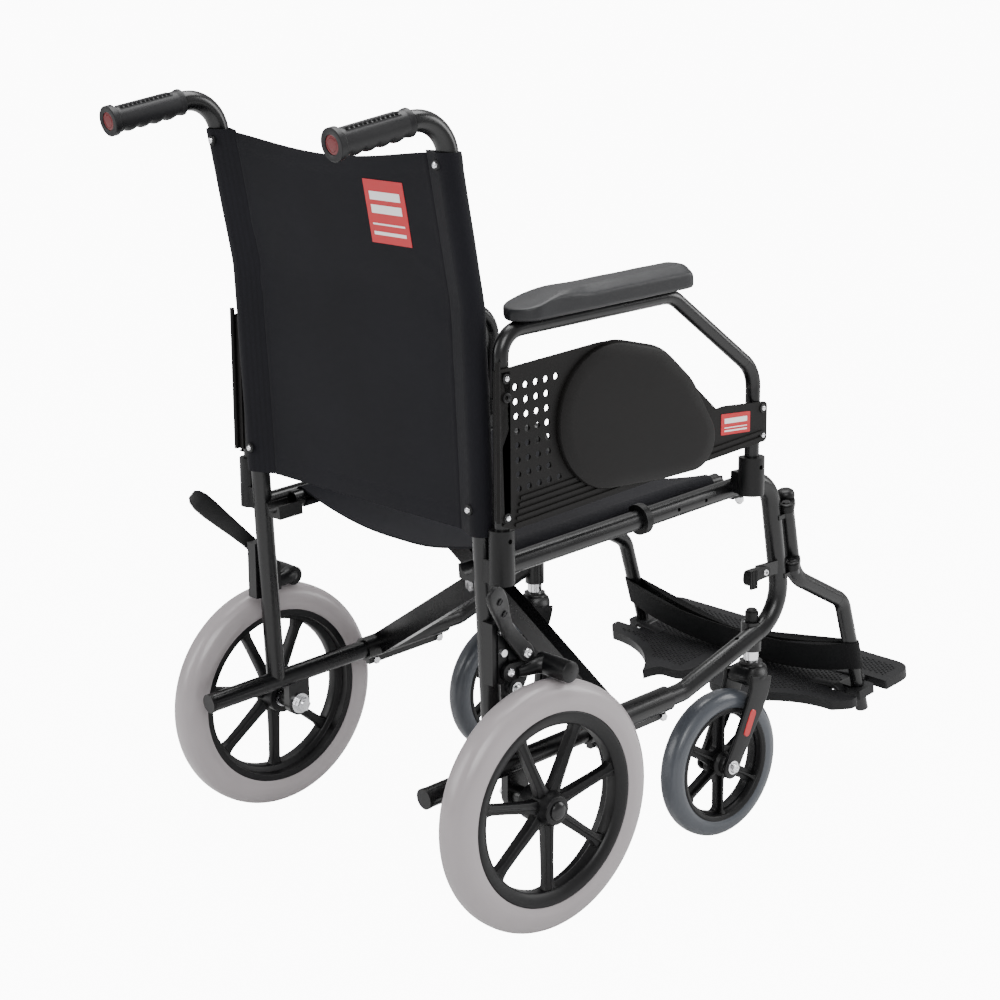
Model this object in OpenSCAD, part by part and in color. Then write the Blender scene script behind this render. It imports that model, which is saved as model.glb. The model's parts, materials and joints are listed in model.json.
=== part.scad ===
// Attendant-propelled folding wheelchair: two tubular side frames joined by a cross brace.
// X points forward, Y to the occupant's left and Z up. Right-hand pieces are mirrored left-hand ones.

/* [Side frame] */
// Distance between the middle planes of the two side frames
frame_spacing = 450; // [375:1:540]
// Outer diameter of the frame tubes
tube_d = 25; // [22:0.5:30]
// Wall of the frame tubes
tube_wall = 2; // [1.2:0.1:3]
// Height of the lower rail's axis above the floor at the rear post
lower_rail_z = 195; // [190:1:230]
// Height of the top rail's axis above the lower rail's
frame_height = 251; // [209:1:301]
// Rise of both rails towards the front, in degrees
rail_tilt = 4.3; // [0:0.1:6]
// Distance from the rear post to the front upright
frame_length = 500; // [480:1:600]
// Forward lean of the front upright's foot, in degrees
upright_lean = 9.3; // [5:0.1:12]
// Slope of the diagonal that carries the caster, in degrees
diagonal_angle = 19.8; // [15:0.1:24]
// Reach of the tipping tube behind the rear post
tipping_reach = 96; // [60:1:120]

/* [Back and handles] */
// Rearward lean of the lower back post, in degrees
post_lean = 2.8; // [0:0.1:4]
// Rearward lean of the back above the kink, in degrees
back_recline = 10.7; // [6:0.1:14]
// Height of the kink above the lower rail
kink_height = 570; // [540:1:680]
// Height of the handle's bend above the lower rail
handle_height = 788.5; // [760:1:940]
// Drop of the handle towards the rear, in degrees
handle_drop = 9.7; // [0:0.1:15]
// Length of the handle tube behind the bend's corner
handle_length = 146; // [130:1:175]
// Diameter of the hand grip
grip_d = 31; // [30:0.5:37]
// Length of the hand grip
grip_length = 106; // [90:1:125]

/* [Rear wheels] */
// Outer diameter of the rear tyre
rear_wheel_d = 314; // [300:1:330]
// Width of the rear tyre
rear_tyre_w = 45; // [37:1:50]
// Outer diameter of the rear rim
rear_rim_d = 244; // [200:1:270]
// Distance of the rear axle ahead of the post's foot
rear_axle_x = 42; // [35:1:60]
// Distance of the rear wheel's middle plane outside the side frame
rear_wheel_out = 54; // [52:1:65]
// Number of rear spokes
rear_spokes = 7; // [5:1:9]
// Diameter of the rear axle
rear_axle_d = 12; // [10:0.5:14]

/* [Casters] */
// Outer diameter of the caster tyre
caster_d = 200; // [180:1:205]
// Width of the caster tyre
caster_w = 33; // [28:1:38]
// Outer diameter of the caster rim
caster_rim_d = 156; // [130:1:165]
// Distance of the caster axle behind its stem
caster_trail = 60; // [40:1:66]
// Distance of the stem behind the front upright
stem_back = 29; // [25:1:40]
// Distance of the stem inside the side frame's middle plane
stem_in = 9; // [6:1:12]
// Number of caster spokes
caster_spokes = 6; // [5:1:8]
// Diameter of the caster stem
stem_d = 12; // [10:0.5:14]
// Diameter of the caster axle
caster_axle_d = 8; // [6:0.5:10]

/* [Cross brace and seat] */
// Height of the cross brace's middle bolt above the lower rail
brace_rise = 140; // [120:1:150]
// Depth of the brace bars' section
brace_bar_h = 30; // [25:1:36]
// Thickness of the brace bars along the chair
brace_bar_t = 19; // [15:0.5:22]
// Distance of the brace's middle ahead of the post
brace_x = 190; // [180:1:230]
// Length of the brace's pivot sleeves
sleeve_length = 146; // [100:1:160]
// Diameter of the seat rails
seat_rail_d = 22; // [20:0.5:25]
// Distance of the seat rails inside the side frames' middle planes
seat_rail_in = 28; // [26:0.5:32]
// Height of the seat rails above the top rails
seat_rail_up = 3; // [0:0.5:6]
// Sag of the seat cloth
seat_sag = 32; // [15:1:45]
// Thickness of the seat and back cloth
cloth_t = 2.4; // [1.5:0.1:4]
// Diameter of the brace's middle bolt
brace_bolt_d = 10; // [8:0.5:12]

/* [Armrests] */
// Diameter of the armrest tube
arm_tube_d = 19; // [17:0.5:22]
// Distance of the armrest outside the side frame's middle plane
arm_out = 28; // [27:0.5:34]
// Height of the armrest tube's top run above the floor, at the post
arm_height = 735; // [700:1:800]
// Distance of the armrest's front leg ahead of its rear leg
arm_leg_spacing = 425; // [400:1:440]
// Length of the arm pad
pad_length = 278; // [240:1:300]
// Width of the arm pad
pad_w = 57; // [48:1:64]
// Thickness of the arm pad
pad_t = 30; // [20:1:36]
// Thickness of the side panel
panel_t = 3; // [2:0.1:4]

/* [Leg rests] */
// Diameter of the leg rest tube
legrest_d = 22; // [21.5:0.5:25]
// Diameter of the footplate's stem
foot_stem_d = 18; // [15:0.5:19]
// Distance of the leg rest tube inside the side frame's middle plane
legrest_in = 10; // [6:1:12]
// Diameter of the leg rest's hinge pins
hinge_pin_d = 10; // [8:0.5:12]
// Length of the footplate along the chair
plate_length = 206; // [170:1:215]
// Width of the footplate
plate_w = 220; // [183:1:264]
// Thickness of the footplate
plate_t = 12; // [10:0.5:14]
// Upward tilt of the footplate's toe, in degrees
plate_tilt = 8.5; // [0:0.5:15]
// Height of the calf strap's band
strap_h = 42; // [30:1:50]

/* [Brakes] */
// Diameter of the brake's shoe
shoe_d = 26; // [20:0.5:30]
// Gap between the shoe and the tyre
shoe_gap = 1; // [0.5:0.1:3]
// Length of the brake lever
brake_lever_length = 140; // [110:1:150]

/* [Fits] */
// Radial clearance of pieces that turn or slide
run_fit = 0.08; // [0.03:0.01:0.1]
// Gap left at welds and clamped faces
weld_gap = 0.05; // [0.02:0.01:0.1]
// Gap between pieces that only pass each other
pass_gap = 0.4; // [0.3:0.05:0.8]

/* [Hidden] */
$fn = 48;

// Side frame, as seen from the side: [x, z] points in the frame's middle plane.
frame_y = frame_spacing / 2;
tube_r = tube_d / 2;
bore_r = tube_r - tube_wall;
rail_slope = tan(rail_tilt);
top_rail_z = lower_rail_z + frame_height;
function lower_rail_at(x) = lower_rail_z + rail_slope * x;
function top_rail_at(x) = top_rail_z + rail_slope * x;
upright_slope = tan(upright_lean);
upright_mid_z = lower_rail_z + 211;
function upright_at(z) = frame_length - (z - upright_mid_z) * upright_slope;
elbow_x = frame_length - 169;
elbow_z = lower_rail_at(elbow_x);
diagonal_slope = tan(diagonal_angle);
front_low_x = (frame_length + upright_slope * (upright_mid_z - elbow_z + diagonal_slope * elbow_x))
    / (1 + upright_slope * diagonal_slope);
front_low_z = elbow_z + diagonal_slope * (front_low_x - elbow_x);
front_top_x = (frame_length + upright_slope * (upright_mid_z - top_rail_z)) / (1 + upright_slope * rail_slope);
front_top_z = top_rail_at(front_top_x);
rail_joint_x = elbow_x - 14;

// Back post and handle.
post_foot_x = 8.5;
post_foot_z = lower_rail_at(post_foot_x);
post_slope = tan(post_lean);
function post_at(z) = post_foot_x - (z - post_foot_z) * post_slope;
kink_z = lower_rail_z + kink_height;
kink_x = post_at(kink_z);
handle_z = lower_rail_z + handle_height;
handle_x = kink_x - (handle_z - kink_z) * tan(back_recline);
handle_end = [
    handle_x - handle_length * cos(handle_drop),
    handle_z - handle_length * sin(handle_drop)
];
handle_bend_r = 45;
kink_bend_r = 100;

// Rear wheel and axle.
rear_wheel_y = frame_y + rear_wheel_out;
rear_axle_z = rear_wheel_d / 2;
rear_wheel_r = rear_wheel_d / 2;
rear_rim_r = rear_rim_d / 2;
rear_axle_r = rear_axle_d / 2;
rear_hub_r = 22.5;
bearing_wall = 8;
bearing_w = 8;

// Caster.
stem_x = frame_length - stem_back;
stem_y = frame_y - stem_in;
caster_r = caster_d / 2;
caster_rim_r = caster_rim_d / 2;
caster_x = stem_x - caster_trail;
stem_r = stem_d / 2;
crown_top = caster_d + 30;
stem_bearing_wall = 5;
housing_r = stem_r + stem_bearing_wall + 3;
housing_bottom = elbow_z + diagonal_slope * (stem_x - elbow_x) - 26;
housing_top = housing_bottom + 40;

// Cross brace: its middle, in the plane square to the rails.
brace_mid = [
    brace_x - brace_rise * sin(rail_tilt),
    0,
    lower_rail_at(brace_x) + brace_rise * cos(rail_tilt)
];
brace_angle = atan(brace_rise / frame_y);
brace_lower = norm([frame_y, brace_rise]);
seat_rail_r = seat_rail_d / 2;
seat_rail_y = frame_y - seat_rail_in;
seat_rail_v = frame_height * cos(rail_tilt) + seat_rail_up - brace_rise;
brace_upper = (seat_rail_y + 4) / cos(brace_angle);
brace_gap = 1;
sleeve_wall = 3.5;
seat_rail_start = 32;
seat_rail_end = frame_length - 72;
brace_bolt_r = brace_bolt_d / 2;

// Armrest.
arm_y = frame_y + arm_out;
arm_r = arm_tube_d / 2;
arm_rear_x = -1;
arm_front_x = arm_rear_x + arm_leg_spacing;
arm_slope = 0.045;
knee_x = arm_front_x - 150;
knee_z = arm_height + arm_slope * knee_x;
arm_front_z = knee_z - 112;
socket_rear = [top_rail_z - 9, top_rail_z + 57];
socket_front = [top_rail_z + 27, top_rail_z + 77];
panel_in = arm_y + arm_r + pass_gap;

// Brake.
brake_z = rear_axle_z + 191;
brake_pivot = [30, brake_z];
shoe_x = rear_axle_x + 20;
shoe_reach = rear_wheel_r + shoe_gap + shoe_d / 2;
shoe_z = rear_axle_z + sqrt(shoe_reach * shoe_reach - (shoe_x - rear_axle_x) * (shoe_x - rear_axle_x));
arm_pivot = [9, shoe_z];
bracket_y = frame_y + 15;

// Leg rest: the hinge axis leans with the front upright.
hinge_y = frame_y + 10;
hinge_ahead = 19;
hinge_x = upright_at(top_rail_z - 13) + hinge_ahead;
hinge_z = top_rail_z - 13;
hinge_pitch = 82;
legrest_y = frame_y - legrest_in;
legrest_r = legrest_d / 2;
leg_top = [hinge_x + 18, hinge_z + 8];
leg_knee = [hinge_x + 39, hinge_z - 103];
leg_shin = [hinge_x + 141, hinge_z - 158];
shin_lean = 16.8;
shin_drop = 100;
leg_end = [leg_shin[0] + shin_drop * tan(shin_lean), leg_shin[1] - shin_drop];
stem_drop = 169;
foot_end = [leg_shin[0] + stem_drop * tan(shin_lean), leg_shin[1] - stem_drop];
foot_stem_r = foot_stem_d / 2;
plate_hinge_z = foot_end[1] + 32;
plate_hinge_x = leg_shin[0] + (leg_shin[1] - plate_hinge_z) * tan(shin_lean);
plate_hinge_y = legrest_y - 20;
plate_inner_y = plate_hinge_y + 45 - plate_w;
plate_front = 93;
knuckle_r = 8;
knuckle_pin_r = 4;
strap_z = leg_end[1] + 16;
strap_gap = 0.6;

// The model's origin is the middle of its footprint.
rear_most = handle_end[0] - 8 * cos(handle_drop) - (grip_d / 2 + 3.5) * sin(handle_drop);
front_most = plate_hinge_x + plate_front * cos(plate_tilt) + plate_t / 2 * sin(plate_tilt);
mid_x = (rear_most + front_most) / 2;

// Unit vector along v.
function unit(v) = v / norm(v);
// A side-view point [x, z] placed at the width y.
function at_y(p, y) = [p[0], y, p[1]];

// A bend is this much fatter than the straights beside it, and they overlap by this much.
bend_swell = 0.15;
bend_lap = 1.5;

// Places children with local z along dir and local x as near as possible to hint.
module oriented(origin, dir, hint) {
    z = unit(dir);
    y = unit(cross(z, hint));
    x = cross(y, z);
    multmatrix([
        [x[0], y[0], z[0], origin[0]],
        [x[1], y[1], z[1], origin[1]],
        [x[2], y[2], z[2], origin[2]],
        [0, 0, 0, 1]
    ]) children();
}

// Round rod from a to b, made longer by extra at both ends.
module rod(a, b, r, extra = 0) {
    hint = abs(unit(b - a)[1]) > 0.9 ? [1, 0, 0] : [0, 1, 0];
    oriented(a - unit(b - a) * extra, b - a, hint) cylinder(h = norm(b - a) + 2 * extra, r = r);
}

// Half angle of the bend at b, and the length of straight that the bend takes away.
function half_turn(a, b, c) = acos(min(1, unit(b - a) * unit(c - b))) / 2;
function setback(a, b, c, bend) = bend * tan(half_turn(a, b, c));

// Straight piece i of a bent bar, which runs a little way into the bends at its ends.
module bent_straight(points, bends, i, r, extra) {
    last = len(points) - 1;
    d = unit(points[i + 1] - points[i]);
    cut_a = i == 0 ? -extra : setback(points[i - 1], points[i], points[i + 1], bends[i - 1]) - bend_lap;
    cut_b = i == last - 1 ? -extra : setback(points[i], points[i + 1], points[i + 2], bends[i]) - bend_lap;
    rod(points[i] + d * cut_a, points[i + 1] - d * cut_b, r);
}

// Solid bar that follows points, with a round bend of radius bends[i] at each inner point.
module bent_bar(points, bends, r, extra = 0) {
    last = len(points) - 1;
    for (i = [0:last - 1]) bent_straight(points, bends, i, r, extra);
    for (i = [1:last - 1])
        place_bend(points[i - 1], points[i], points[i + 1], bends[i - 1]) circle(r = r + bend_swell);
}

// Hollow tube that follows points, of outer radius r and inner radius inner.
module bent_tube(points, bends, r, inner) {
    last = len(points) - 1;
    for (i = [0:last - 1]) difference() {
        bent_straight(points, bends, i, r, 0);
        bent_straight(points, bends, i, inner, 1);
    }
    for (i = [1:last - 1]) place_bend(points[i - 1], points[i], points[i + 1], bends[i - 1]) difference() {
        circle(r = r + bend_swell);
        circle(r = inner + bend_swell);
    }
}

// Sweeps the 2D children round the bend at b.
module place_bend(a, b, c, bend) {
    d1 = unit(b - a);
    d2 = unit(c - b);
    n = unit(d2 - d1 * (d1 * d2));
    centre = b - d1 * setback(a, b, c, bend) + n * bend;
    oriented(centre, cross(d1, d2), -n) rotate_extrude(angle = 2 * half_turn(a, b, c)) translate([bend, 0]) children();
}

// Local z points outwards, along Y.
module facing_out(x, y, z) translate([x, y, z]) rotate([-90, 0, 0]) children();
// Square to the rails: local x runs along them.
module along_rails(p) translate(p) rotate([0, -rail_tilt, 0]) children();
// Local z runs up the front upright's lean.
module along_upright(p) translate(p) rotate([0, -upright_lean, 0]) children();
// Ring of outer radius ro and inner radius ri from z = a to z = b.
module ring(ro, ri, a, b) {
    difference() {
        translate([0, 0, a]) cylinder(h = b - a, r = ro);
        translate([0, 0, a - 1]) cylinder(h = b - a + 2, r = ri);
    }
}
// Cap nut with its seat at z = 0.
module acorn_nut(r) {
    cylinder(h = r, r = r, $fn = 6);
    translate([0, 0, r * 0.9]) sphere(r = r * 0.78);
}
// Block with upright edges rounded to radius r.
module rounded_block(size, r) {
    translate([r, 0, 0]) cube([size[0] - 2 * r, size[1], size[2]]);
    translate([0, r, 0]) cube([size[0], size[1] - 2 * r, size[2]]);
    for (x = [r, size[0] - r])
        for (y = [r, size[1] - r])
            translate([x, y, 0]) cylinder(h = size[2], r = r);
}

frame_path = [
    at_y([rail_joint_x, lower_rail_at(rail_joint_x)], frame_y),
    at_y([elbow_x, elbow_z], frame_y),
    at_y([front_low_x, front_low_z], frame_y),
    at_y([front_top_x, front_top_z], frame_y),
    at_y([post_at(top_rail_z), top_rail_at(post_at(top_rail_z))], frame_y)
];
frame_bends = [40, 62, 42];
post_path = [
    at_y([post_foot_x, post_foot_z], frame_y),
    at_y([kink_x, kink_z], frame_y),
    at_y([handle_x, handle_z], frame_y),
    at_y(handle_end, frame_y)
];
post_bends = [kink_bend_r, handle_bend_r];
lower_path = [
    at_y([-tipping_reach, lower_rail_at(-tipping_reach)], frame_y),
    at_y([rail_joint_x, lower_rail_at(rail_joint_x)], frame_y)
];
saddle_bolts = [19, arm_front_x + 9];
accessory_holes = [309, 358];
collar_x = 252;
brake_bolts = [brake_z + 4, brake_z + 30];

// Front frame tube: diagonal, front upright and top rail, with the caster housing and hinge lugs.
module frame_tube() color([0.05, 0.05, 0.055]) {
    difference() {
        union() {
            bent_tube(frame_path, frame_bends, tube_r, bore_r);
            translate([stem_x, stem_y, housing_bottom]) cylinder(h = housing_top - housing_bottom, r = housing_r);
            hinge_lugs();
            latch_plate();
        }
        rod(post_path[0], post_path[1], tube_r + weld_gap);
        translate([stem_x, stem_y, housing_bottom - 1])
            cylinder(h = housing_top - housing_bottom + 2, r = stem_r + stem_bearing_wall);
        for (x = saddle_bolts) translate([x, frame_y, 0]) cylinder(h = 2 * top_rail_z, r = 3);
        for (x = accessory_holes)
            facing_out(x, frame_y - 2 * tube_r, top_rail_at(x)) cylinder(h = 4 * tube_r, r = 2.5);
    }
}

// Lugs and pins on the front upright, which the leg rest hooks over.
module hinge_lugs() {
    for (k = [0, 1]) along_upright([hinge_x + k * hinge_pitch * upright_slope, hinge_y, hinge_z - k * hinge_pitch]) {
        difference() {
            translate([0, 0, -8]) union() {
                cylinder(h = 6, r = hinge_pin_d / 2 + 4);
                translate([-20, -14, 0]) cube([20, 18, 6]);
            }
            translate([-hinge_ahead * cos(upright_lean), frame_y - hinge_y, -20]) cylinder(h = 40, r = tube_r - 0.5);
        }
        translate([0, 0, -8]) cylinder(h = 20, r = hinge_pin_d / 2);
    }
}

// Small plate behind the front upright that carries the leg rest's latch.
latch_pivot = [upright_at(lower_rail_z + 163) - 42, lower_rail_z + 163];
module latch_plate() {
    translate([latch_pivot[0] - 9, frame_y + 8, latch_pivot[1] - 9]) cube([40, 4, 18]);
    facing_out(latch_pivot[0], frame_y + 12, latch_pivot[1]) cylinder(h = 9, r = 3);
}

// Lower rail with its tipping tube and the plate that carries the rear axle.
module lower_rail() color([0.05, 0.05, 0.055]) {
    difference() {
        union() {
            rod(lower_path[0], lower_path[1], tube_r);
            axle_plate();
        }
        rod(lower_path[0], lower_path[1], bore_r, 1);
        facing_out(rear_axle_x, frame_y - 30, rear_axle_z) cylinder(h = 80, r = rear_axle_r);
    }
}

module axle_plate() {
    facing_out(rear_axle_x, frame_y - 6, rear_axle_z) cylinder(h = 12, r = 17);
    translate([rear_axle_x - 17, frame_y - 6, rear_axle_z]) cube([34, 12, lower_rail_at(rear_axle_x) - rear_axle_z - 6]);
    facing_out(rear_axle_x, frame_y - 6, rear_axle_z) cylinder(h = rear_wheel_out - 23.5, r = 12);
}

module back_post() color([0.05, 0.05, 0.055]) {
    difference() {
        bent_tube(post_path, post_bends, tube_r, bore_r);
        rod(lower_path[0], lower_path[1], tube_r + weld_gap, 40);
        for (z = brake_bolts) facing_out(post_at(z), frame_y, z) cylinder(h = 40, r = 3);
    }
}

// Moulded grip: local z runs out along the handle, from the grip's mouth.
module hand_grip() color([0.03, 0.03, 0.03]) {
    back = unit(post_path[3] - post_path[2]);
    mouth = post_path[3] - back * (grip_length - 8);
    oriented(mouth, back, [0, 0, -1]) difference() {
        union() {
            cylinder(h = grip_length, r = grip_d / 2);
            translate([0, 0, grip_length - 7]) cylinder(h = 7, r = grip_d / 2 + 3.5);
            cylinder(h = 7, r = grip_d / 2 + 2);
            for (i = [0:4]) translate([2.6, 0, 20 + 17 * i]) sphere(r = grip_d / 2);
        }
        translate([0, 0, -2]) cylinder(h = grip_length - 6, r = tube_r + weld_gap);
        translate([0, 0, grip_length - 2]) cylinder(h = 4, r = 11);
    }
}

// Two ball bearings in the caster housing and the dust cap over them.
module caster_bearings() color([0.6, 0.6, 0.62]) translate([stem_x, stem_y, 0]) {
    ring(stem_r + stem_bearing_wall, stem_r + run_fit, housing_bottom + 1, housing_bottom + 1 + bearing_w);
    ring(stem_r + stem_bearing_wall, stem_r + run_fit, housing_top - 9, housing_top - 9 + bearing_w);
}

// Sockets that the armrest's two legs slide into.
module arm_sockets() color([0.04, 0.04, 0.04]) {
    socket(arm_rear_x, socket_rear, 15.5, arm_rear_x - 13, arm_rear_x + 13);
    socket(arm_front_x, socket_front, 17, arm_front_x - 14, arm_front_x + 19);
}

module socket(x, span, r, block_a, block_b) {
    difference() {
        union() {
            translate([x, arm_y, span[0]]) cylinder(h = span[1] - span[0], r = r);
            translate([block_a, frame_y + 5, span[0] + 1]) cube([block_b - block_a, arm_out - 8, 28]);
        }
        translate([x - 30, frame_y - 10, span[0] - 10]) cube([60, 15, 100]);
        translate([x - 30, frame_y - 10, span[0] + 29]) cube([60, 26, 100]);
        translate([x, arm_y, span[0] + 4]) cylinder(h = 100, r = arm_r + run_fit);
        rod(frame_path[3], frame_path[4], tube_r + 2 * weld_gap);
        rod(post_path[0], post_path[1], tube_r + weld_gap);
        facing_out(x, arm_y, span[1] - 12) cylinder(h = 40, r = 3);
    }
}

// Cradles for the seat rails, the collar on the top rail, the tipping tube's plug and the caster's cap.
module rail_fittings() color([0.04, 0.04, 0.04]) {
    difference() {
        union() {
            saddle(-8, 37);
            saddle(arm_front_x - 9, 28);
            along_rails([collar_x, frame_y, top_rail_at(collar_x)]) difference() {
                rotate([0, 90, 0]) translate([0, 0, -5]) cylinder(h = 10, r = tube_r + 7);
                translate([-10, -seat_rail_in + seat_rail_r + cloth_t + 2 * pass_gap - 20, -30]) cube([20, 20, 60]);
            }
        }
        rod(frame_path[3], frame_path[4], tube_r);
        rod(post_path[0], post_path[1], tube_r + pass_gap);
        for (x = saddle_bolts) translate([x, frame_y, 0]) cylinder(h = 2 * top_rail_z, r = 3);
    }
    plug_dir = unit(lower_path[0] - lower_path[1]);
    rod(lower_path[0], lower_path[0] + plug_dir * 5, tube_r + 0.5);
    translate([stem_x, stem_y, housing_top]) difference() {
        cylinder(h = 13, r = stem_r + 3);
        translate([0, 0, -1]) cylinder(h = 5, r = stem_r + 1);
        translate([-stem_x, -stem_y, -housing_top]) bent_bar(frame_path, frame_bends, tube_r + 2 * weld_gap);
    }
}

// Half-round cradle beside the top rail, open upwards for the seat rail.
module saddle(x, length) {
    along_rails([x, frame_y, top_rail_at(x)]) difference() {
        translate([0, -seat_rail_in - seat_rail_r - 4, -15])
            cube([length, seat_rail_in + seat_rail_r + 8, 15 + seat_rail_up]);
        translate([-1, -seat_rail_in, seat_rail_up]) rotate([0, 90, 0])
            cylinder(h = length + 2, r = seat_rail_r + pass_gap);
    }
}

// Cap nuts and bolts of the side frame, and the washers under them.
module frame_fasteners() color([0.8, 0.8, 0.82]) {
    for (x = saddle_bolts) {
        translate([x, frame_y, top_rail_at(x) + tube_r]) rotate([180, 0, 0]) cylinder(h = 24, r = 2.9);
        translate([x, frame_y, top_rail_at(x) - 15 - rail_slope * 12]) rotate([180, 0, 0]) acorn_nut(6);
    }
    for (z = brake_bolts) facing_out(post_at(z), bracket_y + 10, z) {
        cylinder(h = 5, r1 = 5.5, r2 = 4.5);
        translate([0, 0, -22]) cylinder(h = 23, r = 2.9);
    }
}

// Axle bolt with its washers and its nut inside the frame.
module rear_axle() color([0.8, 0.8, 0.82]) facing_out(rear_axle_x, frame_y, rear_axle_z) {
    translate([0, 0, -20]) cylinder(h = rear_wheel_out + 38, r = rear_axle_r - run_fit);
    translate([0, 0, rear_wheel_out + 17]) cylinder(h = 4, r = 11);
    ring(rear_axle_r + 8, rear_axle_r - run_fit, -9, -6.2);
    translate([0, 0, -18]) cylinder(h = 9, r = 10, $fn = 6);
}

// Extruded clamp on the back post that carries the brake's two pivots.
module brake_bracket() color([0.05, 0.05, 0.055]) {
    difference() {
        union() {
            translate([post_at(brake_z) - 15, frame_y + 7, brake_z - 35]) cube([30, 18, 76]);
            translate([post_at(brake_z) - 15, bracket_y, brake_z - 32]) cube([46, 10, 40]);
        }
        rod(post_path[0], post_path[1], tube_r + weld_gap);
        for (s = [-1, 1]) translate([post_at(brake_z) - 3 + 8 * s, bracket_y + 8, brake_z - 40]) cube([5, 4, 90]);
        for (z = brake_bolts) facing_out(post_at(z), frame_y, z) cylinder(h = 40, r = 3);
    }
    facing_out(arm_pivot[0], bracket_y + 9, arm_pivot[1]) cylinder(h = 8.5, r = 4);
    facing_out(brake_pivot[0], bracket_y + 9, brake_pivot[1]) cylinder(h = 14.5, r = 4);
}

// Brake lever: a pressed plate that flares outwards to its paddle.
lever_plane = bracket_y + 17;
module brake_lever() color([0.05, 0.05, 0.055]) {
    flare = 44;
    reach = brake_lever_length;
    translate([brake_pivot[0], lever_plane, brake_pivot[1]]) rotate([0, -131.4, 0]) difference() {
        union() {
            rotate([-90, 0, 0]) cylinder(h = 5, r = 13);
            translate([0, 0, -10]) cube([46, 5, 20]);
            hull() {
                translate([42, 2.5, 0]) rotate([-90, 0, 0]) cylinder(h = 5, r = 10, center = true);
                translate([reach - 46, flare * 0.62, 0]) rotate([-90, 0, 0]) cylinder(h = 5, r = 13, center = true);
            }
            hull() {
                translate([reach - 46, flare * 0.62, 0]) rotate([-90, 0, 0]) cylinder(h = 5, r = 13, center = true);
                translate([reach - 14, flare, 0]) rotate([-90, 0, 0]) cylinder(h = 5, r = 14, center = true);
            }
        }
        translate([0, -1, 0]) rotate([-90, 0, 0]) cylinder(h = 8, r = 4 + run_fit);
        for (x = [reach - 40, reach - 18]) translate([x, 0, 0]) rotate([-90, 0, 0]) cylinder(h = 80, r = 4);
    }
}

// Brake arm with the shoe that presses on the tyre.
module brake_arm() color([0.06, 0.06, 0.065]) {
    reach = shoe_x - arm_pivot[0];
    translate([arm_pivot[0], bracket_y + 11, arm_pivot[1]]) difference() {
        union() {
            rotate([-90, 0, 0]) cylinder(h = 5, r = 11);
            translate([0, 0, -8]) cube([reach, 5, 16]);
            translate([reach, 0, 0]) rotate([-90, 0, 0]) cylinder(h = rear_tyre_w + 8, r = shoe_d / 2);
        }
        translate([0, -1, 0]) rotate([-90, 0, 0]) cylinder(h = 8, r = 4 + run_fit);
    }
}

// Outline of the rear tyre's section: [distance from the axle, width].
module rear_tyre_section() {
    crown = 27;
    intersection() {
        translate([rear_wheel_r - crown, 0]) circle(r = crown);
        translate([rear_rim_r, -rear_tyre_w / 2]) square([rear_wheel_r, rear_tyre_w]);
    }
}

module rear_tyre() color([0.69, 0.67, 0.67])
    facing_out(rear_axle_x, rear_wheel_y, rear_axle_z) rotate_extrude() rear_tyre_section();

// Rim, spokes and stepped hub in one moulding.
module rear_rim() color([0.05, 0.05, 0.055]) facing_out(rear_axle_x, rear_wheel_y, rear_axle_z) {
    difference() {
        union() {
            ring(rear_rim_r, rear_rim_r - 9, -19, 20);
            ring(rear_rim_r - 4, rear_rim_r - 15, -4, 15);
            translate([0, 0, -24]) cylinder(h = 44, r = rear_hub_r);
            translate([0, 0, 19]) cylinder(h = 4, r = rear_hub_r - 5);
            for (i = [0:rear_spokes - 1]) rotate([0, 0, 90 + i * 360 / rear_spokes]) {
                translate([0, 0, -5]) linear_extrude(height = 18)
                    polygon([[18, -8.4], [rear_rim_r - 12, -7.5], [rear_rim_r - 12, 7.5], [18, 8.4]]);
                translate([0, 0, -12]) linear_extrude(height = 10)
                    polygon([[18, -4], [rear_rim_r - 7.5, -3], [rear_rim_r - 7.5, 3], [18, 4]]);
            }
        }
        translate([0, 0, -30]) cylinder(h = 51.5, r = rear_axle_r + 3);
        translate([0, 0, -25]) cylinder(h = 1 + bearing_w, r = rear_axle_r + bearing_wall);
        translate([0, 0, 10]) cylinder(h = 11.5, r = rear_axle_r + bearing_wall);
    }
}

module rear_bearings() color([0.6, 0.6, 0.62]) facing_out(rear_axle_x, rear_wheel_y, rear_axle_z) {
    ring(rear_axle_r + bearing_wall, rear_axle_r, -24, -24 + bearing_w);
    ring(rear_axle_r + bearing_wall, rear_axle_r, 10, 10 + bearing_w - 2);
}

// Caster fork with its stem, crown and two legs.
module caster_fork() color([0.05, 0.05, 0.055]) {
    leg_in = caster_w / 2 + 3;
    leg_t = 7;
    difference() {
        union() {
            translate([stem_x, stem_y, crown_top - 14]) cylinder(h = housing_top - crown_top + 14, r = stem_r);
            translate([stem_x, stem_y, crown_top - 20]) cylinder(h = 14, r = 20);
            translate([stem_x, stem_y, crown_top - 6]) cylinder(h = 6, r1 = 20, r2 = 15);
            hull() {
                translate([stem_x, stem_y, crown_top - 20]) cylinder(h = 8, r = 19, $fn = 32);
                for (s = [-1, 1]) translate([stem_x - 8, stem_y + s * (leg_in + leg_t / 2), crown_top - 26])
                    rotate([90, 0, 0]) cylinder(h = leg_t, r = 16, center = true, $fn = 32);
            }
            for (s = [-1, 1]) fork_leg(s, leg_in, leg_t);
        }
        facing_out(caster_x, stem_y - 40, caster_r) cylinder(h = 80, r = caster_axle_d / 2);
        facing_out(caster_x, stem_y - leg_in, caster_r) cylinder(h = 2 * leg_in, r = caster_r + 3);
        translate([stem_x - 60, stem_y - leg_in, 0]) cube([100, 2 * leg_in, caster_d + 3]);
    }
}

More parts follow.
